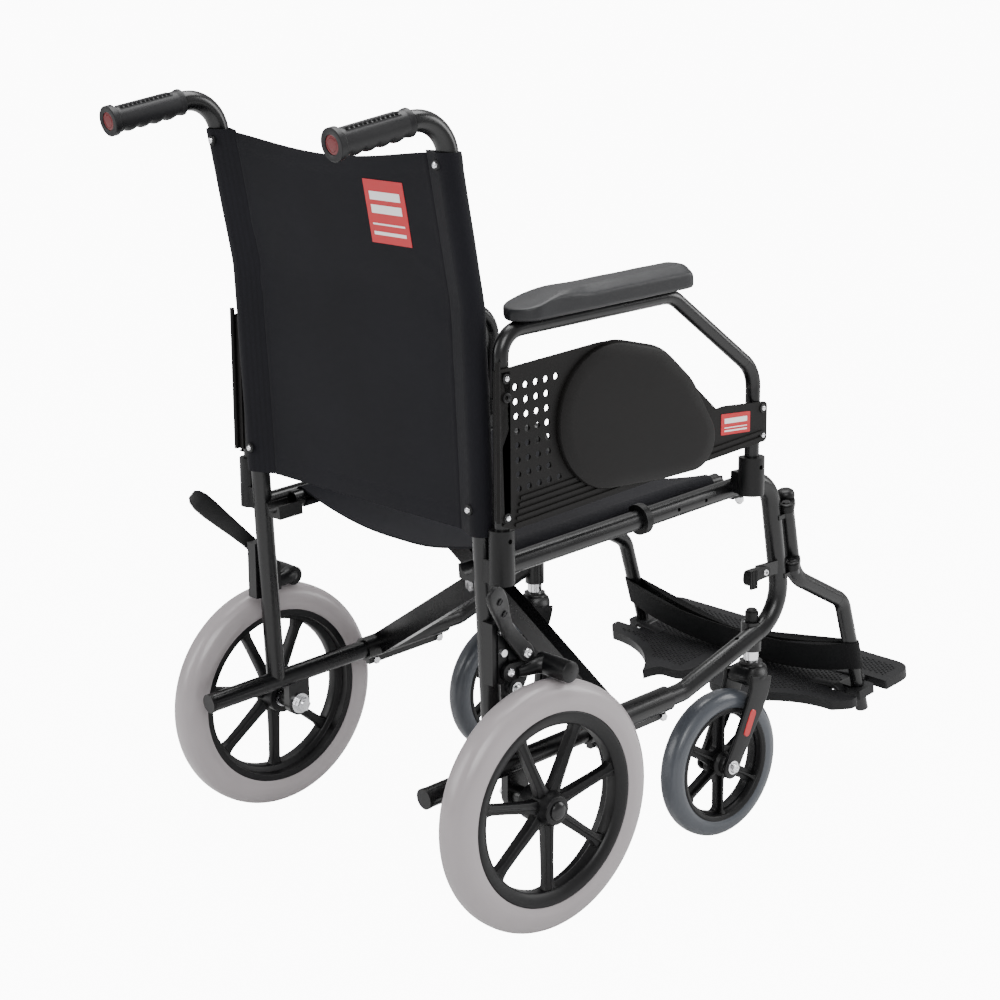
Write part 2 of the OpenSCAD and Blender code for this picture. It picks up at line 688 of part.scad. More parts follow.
module fork_leg(s, leg_in, leg_t) {
    y = stem_y + s * (leg_in + leg_t / 2);
    hull() {
        translate([stem_x - 8, y, crown_top - 26]) rotate([90, 0, 0]) cylinder(h = leg_t, r = 16, center = true, $fn = 32);
        translate([stem_x - 16, y, crown_top - 62]) rotate([90, 0, 0]) cylinder(h = leg_t, r = 11, center = true, $fn = 32);
    }
    hull() {
        translate([stem_x - 16, y, crown_top - 62]) rotate([90, 0, 0]) cylinder(h = leg_t, r = 11, center = true, $fn = 32);
        translate([caster_x, y, caster_r]) rotate([90, 0, 0]) cylinder(h = leg_t, r = 12, center = true, $fn = 32);
    }
}

// Stem nut, axle bolt and axle nut of the caster.
module caster_hardware() color([0.8, 0.8, 0.82]) {
    leg_out = caster_w / 2 + 10;
    translate([stem_x, stem_y, 0]) ring(10.5, stem_r, crown_top + pass_gap, housing_bottom - pass_gap);
    facing_out(caster_x, stem_y, caster_r) {
        translate([0, 0, -leg_out - 6]) cylinder(h = 2 * leg_out + 12, r = caster_axle_d / 2);
        for (s = [0, 1]) mirror([0, 0, s]) translate([0, 0, leg_out + 0.1]) {
            cylinder(h = 1.5, r = 9);
            cylinder(h = 6, r = 6.5, $fn = 6);
        }
    }
}

module caster_tyre() color([0.25, 0.27, 0.29]) facing_out(caster_x, stem_y, caster_r) rotate_extrude() {
    crown = 19;
    intersection() {
        translate([caster_r - crown, 0]) circle(r = crown);
        translate([caster_rim_r, -caster_w / 2]) square([caster_r, caster_w]);
    }
}

// Caster rim with ribbed spokes between its hub and its outer ring.
module caster_rim() color([0.05, 0.05, 0.055]) facing_out(caster_x, stem_y, caster_r) difference() {
    union() {
        ring(caster_rim_r, caster_rim_r - 8, -14.5, 14.5);
        translate([0, 0, -caster_w / 2 - 2.5]) cylinder(h = caster_w + 5, r = 12);
        translate([0, 0, -12]) cylinder(h = 24, r = 17);
        for (i = [0:caster_spokes - 1]) rotate([0, 0, 30 + i * 360 / caster_spokes]) {
            translate([0, 0, -4]) linear_extrude(height = 8)
                polygon([[14, -6.5], [30, -7], [caster_rim_r - 5, -14], [caster_rim_r - 5, 14], [30, 7], [14, 6.5]]);
            translate([14, -2, -10]) cube([caster_rim_r - 18, 4, 20]);
        }
    }
    translate([0, 0, -40]) cylinder(h = 80, r = caster_axle_d / 2 + run_fit);
}

// Armrest tube: rear leg, sloping top run, slanting knee and front leg.
arm_path = [
    at_y([arm_rear_x, socket_rear[0] + 5], arm_y),
    at_y([arm_rear_x, arm_height], arm_y),
    at_y([knee_x, knee_z], arm_y),
    at_y([arm_front_x, arm_front_z], arm_y),
    at_y([arm_front_x, socket_front[0] + 5], arm_y)
];
module arm_tube() color([0.05, 0.05, 0.055])
    bent_tube(arm_path, [30, 40, 45], arm_r, arm_r - 1.5);

// Arm pad on the tube's top run, with chamfered edges.
module arm_pad() color([0.04, 0.04, 0.042]) {
    run = unit(arm_path[2] - arm_path[1]);
    start = arm_path[1] + run * 14 + [0, 0, arm_r + pass_gap];
    oriented(start, [0, 1, 0], run) translate([0, 0, -pad_w / 2]) {
        top = pad_t;
        linear_extrude(height = pad_w) polygon([
            [0, 0], [0, -top + 12], [14, -top + 2], [30, -top],
            [pad_length - 10, -top], [pad_length, -top + 8], [pad_length, 0]
        ]);
    }
}

// Clothes guard screwed to the armrest, with its round boss, its vents and the channel round the rear leg.
module side_panel() color([0.05, 0.05, 0.052]) {
    low = socket_front[1] - 20;
    boss = 7;
    boss_r = 89;
    boss_x = arm_rear_x + 163;
    boss_z = low + 114;
    difference() {
        union() {
            facing_out(0, panel_in, 0) linear_extrude(height = panel_t) polygon([
                [arm_rear_x - 12, -(low + 191)], [arm_rear_x - 12, -(low + 10)], [arm_rear_x + 14, -low],
                [arm_front_x + 13, -(low + 41)], [arm_front_x + 13, -(low + 92)], [arm_front_x - 84, -(low + 103)],
                [arm_front_x - 120, -(low + 134)], [arm_front_x - 164, -(low + 160)],
                [arm_front_x - 206, -(low + 184)], [arm_rear_x + 163, -(low + 204)], [arm_rear_x + 138, -(low + 203)]
            ]);
            intersection() {
                union() {
                    facing_out(boss_x, panel_in, boss_z) cylinder(h = panel_t + boss, r = boss_r);
                    hull() {
                        facing_out(boss_x + 60, panel_in, boss_z - 8) cylinder(h = panel_t + boss, r = boss_r - 10);
                        facing_out(boss_x + 128, panel_in, boss_z - 26) cylinder(h = panel_t + boss, r = boss_r - 38);
                    }
                }
                translate([0, panel_in, low + 18]) cube([arm_front_x, 40, 184]);
            }
            translate([arm_rear_x - 14, arm_y - 4, low + 12]) cube([3, panel_in - arm_y + 4 + panel_t, 176]);
        }
        facing_out(boss_x, panel_in - 1, boss_z) cylinder(h = boss + 1, r = boss_r - 4);
        for (row = [0:7])
            for (col = [0:3])
                facing_out(arm_rear_x + 16 + 14 * col, panel_in - 1, low + 48 + 17 * row) cylinder(h = 30, r = 3);
    }
}

// Leg rest tube with its two hinge plates.
leg_path = [
    at_y(leg_top, legrest_y),
    at_y(leg_knee, legrest_y),
    at_y(leg_shin, legrest_y),
    at_y(leg_end, legrest_y)
];
module legrest_tube() color([0.05, 0.05, 0.055]) {
    leg_top_dir = unit(leg_path[0] - leg_path[1]);
    difference() {
        union() {
            bent_tube(leg_path, [45, 30], legrest_r, foot_stem_r + 0.4);
            rod(leg_path[0] - leg_top_dir, leg_path[0] + leg_top_dir * 5, legrest_r + 0.8);
            for (k = [0, 1]) hinge_plate(k);
        }
        for (k = [0, 1])
            along_upright([hinge_x + k * hinge_pitch * upright_slope, hinge_y, hinge_z - k * hinge_pitch])
                translate([0, 0, -10]) cylinder(h = 30, r = hinge_pin_d / 2 + run_fit);
    }
}

module hinge_plate(k) {
    along_upright([hinge_x + k * hinge_pitch * upright_slope, hinge_y, hinge_z - k * hinge_pitch])
        translate([0, 0, -1.5]) {
            cylinder(h = 6, r = hinge_pin_d / 2 + 3.2);
            rotate([0, 0, -42]) translate([6.5, -6.5, 0]) cube([17.5, 13, 6]);
        }
}

// Telescoping stem that carries the footplate's hinge.
module foot_stem() color([0.05, 0.05, 0.055]) {
    shin = unit(at_y(foot_end, 0) - at_y(leg_shin, 0));
    rod(at_y(leg_shin, legrest_y) + shin * 30, at_y(foot_end, legrest_y), foot_stem_r);
    plate_frame() translate([-15, 0, -8]) cube([30, legrest_y - plate_hinge_y, 16]);
    plate_frame() rotate([0, 90, 0]) translate([0, 0, -15]) cylinder(h = 30, r = knuckle_r);
    plate_frame() rotate([0, 90, 0]) translate([0, 0, -29]) cylinder(h = 58, r = knuckle_pin_r);
}

// The footplate's own frame: local x along its hinge, local z square to the plate.
module plate_frame() translate([plate_hinge_x, plate_hinge_y, plate_hinge_z]) rotate([0, -plate_tilt, 0]) children();

module footplate() color([0.13, 0.13, 0.135]) {
    back = plate_front - plate_length;
    sweep = caster_trail + caster_r + 6;
    difference() {
        union() {
            plate_frame() translate([back, plate_inner_y - plate_hinge_y, -plate_t / 2])
                rounded_block([plate_length, plate_w, plate_t], 14);
            plate_frame() rotate([0, 90, 0]) translate([0, 0, -29]) cylinder(h = 58, r = knuckle_r);
        }
        plate_frame() translate([back - 1, -8, -20]) cube([-29 - back + 1, 80, 40]);
        plate_frame() translate([-29 - 1, knuckle_r, -20]) cube([55, 80, 40]);
        plate_frame() translate([-15.3, -8.4, -20]) cube([30.6, 40, 40]);
        plate_frame() rotate([0, 90, 0]) translate([0, 0, -60]) cylinder(h = 120, r = knuckle_pin_r + run_fit);
        translate([stem_x, stem_y, 0]) cylinder(h = 300, r = sweep);
    }
}

// Half of the calf strap: a loop round the leg rest, running to the middle.
module calf_strap() color([0.03, 0.03, 0.03]) {
    shin = unit(leg_path[3] - leg_path[2]);
    centre = leg_path[2] + shin * ((leg_path[2][2] - strap_z) / -shin[2]);
    ro = legrest_r + strap_gap + 2;
    ri = legrest_r + strap_gap;
    oriented(centre - shin * strap_h / 2, shin, [0, 1, 0]) difference() {
        union() {
            cylinder(h = strap_h, r = ro);
            translate([-legrest_y + 0.5, -ro, 0]) cube([legrest_y - 0.5, 2 * ro, strap_h]);
        }
        translate([0, 0, -1]) cylinder(h = strap_h + 2, r = ri);
        translate([-legrest_y, -ri, -1]) cube([legrest_y, 2 * ri, strap_h + 2]);
    }
}

// Thumb latch that locks the leg rest in line.
module latch_lever() color([0.04, 0.04, 0.04])
    translate([latch_pivot[0], frame_y + 12.4, latch_pivot[1]]) difference() {
        union() {
            rotate([-90, 0, 0]) cylinder(h = 6, r = 9);
            translate([-34, 0, -4]) cube([34, 6, 13]);
            translate([-38, 0, -4]) cube([10, 12, 14]);
            for (i = [0:3]) translate([-37 + 2.4 * i, 4, -3]) cube([1.2, 10, 12]);
        }
        translate([0, -1, 0]) rotate([-90, 0, 0]) cylinder(h = 20, r = 3 + run_fit);
    }

// One bar of the cross brace with its pivot sleeve on the left rail and its seat rail on the right.
module cross_brace(x0) {
    along_rails(brace_mid) difference() {
        union() {
            difference() {
                rotate([-brace_angle, 0, 0]) translate([x0, -brace_upper, -brace_bar_h / 2])
                    cube([brace_bar_t, brace_upper + brace_lower, brace_bar_h]);
                translate([x0 - 1, 0, sling_top + sling_r - seat_sag]) rotate([0, 90, 0])
                    cylinder(h = brace_bar_t + 2, r = sling_r + cloth_t);
                translate([x0 - 1, -seat_rail_y - 40, seat_rail_v]) cube([brace_bar_t + 2, 56, 60]);
            }
            translate([-sleeve_length / 2 + 40, frame_y, -brace_rise]) rotate([0, 90, 0])
                cylinder(h = sleeve_length, r = tube_r + sleeve_wall);
            translate([-sleeve_length / 2 + 46, frame_y - 4, -brace_rise - tube_r - 11])
                cube([sleeve_length - 12, 8, 12]);
            translate([seat_rail_start - brace_mid[0], -seat_rail_y, seat_rail_v]) rotate([0, 90, 0])
                cylinder(h = seat_rail_end - seat_rail_start, r = seat_rail_r);
        }
        translate([-200, frame_y, -brace_rise]) rotate([0, 90, 0]) cylinder(h = 500, r = tube_r + run_fit);
        translate([seat_rail_start - brace_mid[0] - 1, -seat_rail_y, seat_rail_v]) rotate([0, 90, 0])
            cylinder(h = seat_rail_end - seat_rail_start + 2, r = seat_rail_r - 2);
        translate([-60, -seat_rail_y - seat_rail_r - 60, -20]) cube([200, 60, 400]);
        translate([-60, 0, 0]) rotate([0, 90, 0]) cylinder(h = 120, r = brace_bolt_r + run_fit);
    }
}

// Arc of the slung seat cloth, between the tops of the seat rails.
sling_top = seat_rail_v + seat_rail_r + cloth_t;
sling_r = (seat_rail_y * seat_rail_y + seat_sag * seat_sag) / (2 * seat_sag);

module cross_brace_a() color([0.06, 0.06, 0.065]) cross_brace(-brace_gap - brace_bar_t + 10);
module cross_brace_b() color([0.06, 0.06, 0.065]) mirror([0, 1, 0]) cross_brace(brace_gap + 10);

// Middle bolt of the brace, with its washer between the bars and its nut.
module pivot_bolt() color([0.8, 0.8, 0.82]) along_rails(brace_mid) translate([10, 0, 0]) rotate([0, 90, 0]) {
    reach = brace_bar_t + brace_gap + 0.3;
    translate([0, 0, -reach - 6]) cylinder(h = 2 * reach + 12, r = brace_bolt_r);
    translate([0, 0, -reach - 7]) cylinder(h = 7, r = 9, $fn = 6);
    translate([0, 0, reach]) cylinder(h = 8, r = 9, $fn = 6);
    translate([0, 0, -brace_gap + 0.3]) cylinder(h = 2 * brace_gap - 0.6, r = 14);
}

// Seat cloth slung between the seat rails, with a sleeve round each rail, notched for the brace bars.
module seat_upholstery() color([0.04, 0.04, 0.045]) along_rails(brace_mid) {
    start = 48 - brace_mid[0];
    length = arm_front_x - 14 - 48;
    half = seat_rail_y;
    loop_in = seat_rail_r + pass_gap;
    notch = brace_bar_t + brace_gap + 2;
    difference() {
        translate([start, 0, 0]) rotate([90, 0, 90]) linear_extrude(height = length) {
            intersection() {
                translate([0, sling_top + sling_r - seat_sag]) difference() {
                    circle(r = sling_r);
                    circle(r = sling_r - cloth_t);
                }
                translate([-half, sling_top - seat_sag - 10]) square([2 * half, seat_sag + 10 + cloth_t]);
            }
            for (s = [-1, 1]) translate([s * half, seat_rail_v]) difference() {
                circle(r = loop_in + cloth_t);
                circle(r = loop_in);
            }
        }
        for (s = [-1, 1])
            translate([10 - notch, s * half - 20, seat_rail_v - 30]) cube([2 * notch, 40, 31]);
    }
}

// Back cloth stretched between the posts, with a sleeve round each post.
module back_upholstery() color([0.04, 0.04, 0.045]) {
    low = top_rail_z + 46;
    high = handle_z - handle_bend_r - 2;
    top_x = handle_x + (handle_z - high) * tan(back_recline);
    sleeve_path = [[post_at(low), 0, low], [kink_x, 0, kink_z], [top_x, 0, high]];
    sleeve_in = tube_r + pass_gap;
    difference() {
        union() {
            for (s = [-1, 1]) translate([0, s * frame_y, 0]) bent_bar(sleeve_path, [kink_bend_r], sleeve_in + cloth_t);
            rotate([90, 0, 0]) translate([0, 0, -frame_y]) linear_extrude(height = frame_spacing) polygon([
                [post_at(low) - 2, low + 2], [kink_x - 2, kink_z], [top_x - 2, high - 4],
                [top_x + 2, high - 4], [kink_x + 2, kink_z], [post_at(low) + 2, low + 2]
            ]);
        }
        for (s = [-1, 1]) translate([0, s * frame_y, 0]) bent_bar(sleeve_path, [kink_bend_r], sleeve_in, 5);
    }
}

// A middle or left-hand piece as it is drawn, and one mirrored for the right.
module placed() translate([-mid_x, 0, 0]) children();
module mirrored() placed() mirror([0, 1, 0]) children();

mirrored() frame_tube();  // right_frame_tube
mirrored() lower_rail();  // right_lower_rail
mirrored() back_post();  // right_back_post
mirrored() hand_grip();  // right_hand_grip
mirrored() caster_bearings();  // right_caster_bearings
mirrored() arm_sockets();  // right_arm_sockets
mirrored() rail_fittings();  // right_rail_fittings
mirrored() frame_fasteners();  // right_frame_fasteners
mirrored() rear_axle();  // right_rear_axle
mirrored() brake_bracket();  // right_brake_bracket
mirrored() rear_rim();  // right_rear_rim
mirrored() rear_tyre();  // right_rear_tyre
mirrored() rear_bearings();  // right_rear_bearings
mirrored() caster_fork();  // right_caster_fork
mirrored() caster_hardware();  // right_caster_hardware
mirrored() caster_rim();  // right_caster_rim
mirrored() caster_tyre();  // right_caster_tyre
mirrored() arm_tube();  // right_arm_tube
mirrored() arm_pad();  // right_arm_pad
mirrored() side_panel();  // right_side_panel
mirrored() brake_lever();  // right_brake_lever
mirrored() brake_arm();  // right_brake_arm
mirrored() legrest_tube();  // right_legrest_tube
mirrored() foot_stem();  // right_foot_stem
mirrored() footplate();  // right_footplate
mirrored() calf_strap();  // right_calf_strap
mirrored() latch_lever();  // right_latch_lever
placed() frame_tube();  // left_frame_tube
placed() lower_rail();  // left_lower_rail
placed() back_post();  // left_back_post
placed() hand_grip();  // left_hand_grip
placed() caster_bearings();  // left_caster_bearings
placed() arm_sockets();  // left_arm_sockets
placed() rail_fittings();  // left_rail_fittings
placed() frame_fasteners();  // left_frame_fasteners
placed() rear_axle();  // left_rear_axle
placed() brake_bracket();  // left_brake_bracket
placed() rear_rim();  // left_rear_rim
placed() rear_tyre();  // left_rear_tyre
placed() rear_bearings();  // left_rear_bearings
placed() caster_fork();  // left_caster_fork
placed() caster_hardware();  // left_caster_hardware
placed() caster_rim();  // left_caster_rim
placed() caster_tyre();  // left_caster_tyre
placed() arm_tube();  // left_arm_tube
placed() arm_pad();  // left_arm_pad
placed() side_panel();  // left_side_panel
placed() brake_lever();  // left_brake_lever
placed() brake_arm();  // left_brake_arm
placed() legrest_tube();  // left_legrest_tube
placed() foot_stem();  // left_foot_stem
placed() footplate();  // left_footplate
placed() calf_strap();  // left_calf_strap
placed() latch_lever();  // left_latch_lever
placed() cross_brace_a();
placed() cross_brace_b();
placed() pivot_bolt();
placed() seat_upholstery();
placed() back_upholstery();
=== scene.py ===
import json
import math

import bmesh
import bpy
from mathutils import Matrix, Vector, noise
from mathutils.geometry import tessellate_polygon


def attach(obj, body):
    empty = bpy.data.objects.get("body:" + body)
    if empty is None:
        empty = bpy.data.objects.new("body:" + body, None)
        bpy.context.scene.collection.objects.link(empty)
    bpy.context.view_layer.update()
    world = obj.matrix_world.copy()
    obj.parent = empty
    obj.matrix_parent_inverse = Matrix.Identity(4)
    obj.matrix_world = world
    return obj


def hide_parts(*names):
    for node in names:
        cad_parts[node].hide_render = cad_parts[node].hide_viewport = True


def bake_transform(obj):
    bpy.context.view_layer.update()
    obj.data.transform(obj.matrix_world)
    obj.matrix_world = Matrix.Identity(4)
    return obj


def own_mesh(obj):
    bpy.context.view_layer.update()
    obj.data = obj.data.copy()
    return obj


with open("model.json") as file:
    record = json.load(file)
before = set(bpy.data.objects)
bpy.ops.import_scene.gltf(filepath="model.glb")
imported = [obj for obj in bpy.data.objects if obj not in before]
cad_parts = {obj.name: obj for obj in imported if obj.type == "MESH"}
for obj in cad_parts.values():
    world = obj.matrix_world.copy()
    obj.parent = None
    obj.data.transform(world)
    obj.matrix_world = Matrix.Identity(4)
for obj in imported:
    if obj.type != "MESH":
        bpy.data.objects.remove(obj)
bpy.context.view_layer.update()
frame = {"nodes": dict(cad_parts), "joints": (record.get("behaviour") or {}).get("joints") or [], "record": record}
NODES = frame["nodes"]
JOINTS = {j["name"]: j for j in frame["joints"]}
SIDES = ("right", "left")

# The chair's own millimetres (x forward from the post, y to the left, z up) in the row frame.
MM = 0.001
SHIFT = JOINTS["left_rear_wheel_spin"]["pos_m"][0] - 42 * MM


def row(x, y, z):
    return Vector((x * MM + SHIFT, y * MM, z * MM))


def joint_point(name):
    p = JOINTS[name]["pos_m"]
    return Vector(((p[0] - SHIFT) / MM, p[1] / MM, p[2] / MM))


# ---------------------------------------------------------------- materials
class Nodes:
    """Shorthand for building one node material."""

    def __init__(self, name):
        self.mat = bpy.data.materials.new(name)
        self.mat.use_nodes = True
        self.tree = self.mat.node_tree
        self.bsdf = self.tree.nodes["Principled BSDF"]
        self.coord = self.tree.nodes.new("ShaderNodeTexCoord")

    def new(self, kind, **settings):
        node = self.tree.nodes.new(kind)
        for key, value in settings.items():
            setattr(node, key, value)
        return node

    def link(self, a, b):
        self.tree.links.new(a, b)

    def noise(self, scale, detail=2.0):
        node = self.new("ShaderNodeTexNoise")
        node.inputs["Scale"].default_value = scale
        node.inputs["Detail"].default_value = detail
        self.link(self.coord.outputs["Object"], node.inputs["Vector"])
        return node.outputs["Fac"]

    def ramp(self, value, low, high, a=0.0, b=1.0):
        node = self.new("ShaderNodeMapRange")
        for key, number in (("From Min", a), ("From Max", b), ("To Min", low), ("To Max", high)):
            node.inputs[key].default_value = number
        self.link(value, node.inputs["Value"])
        return node.outputs["Result"]

    def math(self, op, a, b=0.0):
        node = self.new("ShaderNodeMath", operation=op)
        for socket, value in zip(node.inputs, (a, b)):
            if isinstance(value, float):
                socket.default_value = value
            else:
                self.link(value, socket)
        return node.outputs[0]

    def colours(self, value, dark, light):
        node = self.new("ShaderNodeMix", data_type="RGBA")
        node.inputs["A"].default_value = (*dark, 1)
        node.inputs["B"].default_value = (*light, 1)
        self.link(value, node.inputs["Factor"])
        self.link(node.outputs["Result"], self.bsdf.inputs["Base Color"])

    def bump(self, height, strength, distance):
        node = self.new("ShaderNodeBump")
        node.inputs["Strength"].default_value = strength
        node.inputs["Distance"].default_value = distance
        self.link(height, node.inputs["Height"])
        self.link(node.outputs["Normal"], self.bsdf.inputs["Normal"])


def shaded(colour, factor):
    return tuple(min(1.0, c * factor) for c in colour)


def coated(name, colour, rough, grain, depth, spread=0.25, coat=0.0, spec=0.5):
    """Paint, plastic or rubber: broad mottling in colour and gloss, and a fine surface grain."""
    n = Nodes(name)
    broad = n.noise(14.0, 3.0)
    fine = n.noise(grain, 2.0)
    n.colours(n.ramp(broad, 0.0, 1.0, 0.3, 0.7), shaded(colour, 1 - spread), shaded(colour, 1 + spread))
    n.link(n.ramp(broad, rough * 0.88, min(1.0, rough * 1.12), 0.3, 0.7), n.bsdf.inputs["Roughness"])
    n.bsdf.inputs["Specular IOR Level"].default_value = spec
    n.bsdf.inputs["Coat Weight"].default_value = coat
    n.bsdf.inputs["Coat Roughness"].default_value = 0.15
    n.bump(fine, 0.35, depth)
    return n.mat


def woven(name, colour, pitch, depth, sheen):
    """Cloth with a plain weave laid out in the mesh's own UV map, which is in metres."""
    n = Nodes(name)
    split = n.new("ShaderNodeSeparateXYZ")
    n.link(n.coord.outputs["UV"], split.inputs[0])
    waves = [
        n.math("ABSOLUTE", n.math("SINE", n.math("MULTIPLY", split.outputs[i], math.pi / pitch)))
        for i in (0, 1)
    ]
    weave = n.math("MULTIPLY", waves[0], waves[1])
    broad = n.noise(9.0, 4.0)
    shade = n.math("ADD", n.math("MULTIPLY", weave, 0.35), n.math("MULTIPLY", broad, 0.65))
    n.colours(n.ramp(shade, 0.0, 1.0, 0.25, 0.7), shaded(colour, 0.72), shaded(colour, 1.35))
    n.bsdf.inputs["Roughness"].default_value = 0.72
    n.bsdf.inputs["Sheen Weight"].default_value = sheen
    n.bsdf.inputs["Sheen Roughness"].default_value = 0.5
    n.bsdf.inputs["Specular IOR Level"].default_value = 0.13
    n.bump(n.math("ADD", weave, n.math("MULTIPLY", n.noise(60.0, 3.0), 0.8)), 0.5, depth)
    return n.mat


def leather(name, colour):
    """Skinned foam with a fine pebbled grain."""
    n = Nodes(name)
    cells = n.new("ShaderNodeTexVoronoi")
    cells.inputs["Scale"].default_value = 900.0
    n.link(n.coord.outputs["Object"], cells.inputs["Vector"])
    broad = n.noise(16.0, 3.0)
    n.colours(n.ramp(broad, 0.0, 1.0, 0.3, 0.7), shaded(colour, 0.8), shaded(colour, 1.2))
    n.link(n.ramp(broad, 0.42, 0.52, 0.3, 0.7), n.bsdf.inputs["Roughness"])
    n.bsdf.inputs["Specular IOR Level"].default_value = 0.38
    n.bump(n.math("ADD", cells.outputs["Distance"], n.noise(300.0)), 0.3, 0.0003)
    return n.mat


def plated(name, colour, rough):
    """Zinc-plated steel with slight tarnish."""
    n = Nodes(name)
    cloud = n.noise(220.0, 4.0)
    n.colours(n.ramp(cloud, 0.0, 1.0, 0.35, 0.65), shaded(colour, 0.8), colour)
    n.link(n.ramp(cloud, rough * 0.7, rough * 1.4, 0.3, 0.7), n.bsdf.inputs["Roughness"])
    n.bsdf.inputs["Metallic"].default_value = 1.0
    n.bump(n.noise(1500.0), 0.15, 0.0001)
    return n.mat


MATERIALS = {
    "bearing_steel": plated("bearing_steel", (0.62, 0.62, 0.64), 0.25),
    "plated_steel": plated("plated_steel", (0.83, 0.83, 0.85), 0.2),
    "arm_pad": leather("arm_pad", (0.0052, 0.0055, 0.0068)),
    "strap_webbing": woven("strap_webbing", (0.0026, 0.0026, 0.003), 0.0016, 0.0003, 0.02),
    "upholstery": woven("upholstery", (0.0036, 0.0036, 0.0056), 0.0009, 0.00015, 0.015),
    "rear_tyre": coated("rear_tyre", (0.265, 0.242, 0.248), 0.32, 700.0, 0.00004,
                        spread=0.03, coat=0.1, spec=0.45),
    "caster_tyre": coated("caster_tyre", (0.046, 0.051, 0.060), 0.32, 700.0, 0.00004,
                          spread=0.05, coat=0.1, spec=0.4),
}
for name, colour, rough, grain, depth, spec in (
    ("frame_paint", (0.0022, 0.0022, 0.0026), 0.28, 1400.0, 0.00005, 0.4),
    ("bracket_black", (0.0024, 0.0024, 0.0028), 0.38, 1300.0, 0.00008, 0.28),
    ("black_plastic", (0.0026, 0.0026, 0.0029), 0.42, 1800.0, 0.0001, 0.26),
    ("grip_rubber", (0.005, 0.005, 0.006), 0.48, 1600.0, 0.00012, 0.3),
    ("wheel_plastic", (0.0024, 0.0024, 0.0028), 0.42, 1500.0, 0.00008, 0.25),
    ("fork_plastic", (0.0024, 0.0024, 0.0028), 0.36, 1500.0, 0.00008, 0.28),
    ("panel_plastic", (0.0036, 0.0032, 0.0031), 0.5, 2000.0, 0.0001, 0.17),
    ("footplate_plastic", (0.0062, 0.0062, 0.007), 0.52, 1800.0, 0.00012, 0.24),
):
    MATERIALS[name] = coated(name, colour, rough, grain, depth, spec=spec)
RED_PRINT = coated("red_print", (0.42, 0.004, 0.010), 0.5, 1500.0, 0.00006, spread=0.06)
RED_INLAY = coated("red_inlay", (0.11, 0.002, 0.004), 0.3, 1500.0, 0.00008, spread=0.15)
RED_GLOW = coated("red_glow", (0.36, 0.003, 0.005), 0.3, 1500.0, 0.00008, spread=0.1)
WHITE_PRINT = coated("white_print", (0.72, 0.72, 0.72), 0.45, 1500.0, 0.00006, spread=0.04)

for subpart in frame["record"]["subparts"]:
    cad_mesh = NODES[subpart["node"]].data
    cad_mesh.materials.clear()
    cad_mesh.materials.append(MATERIALS[subpart["material_slot"]])


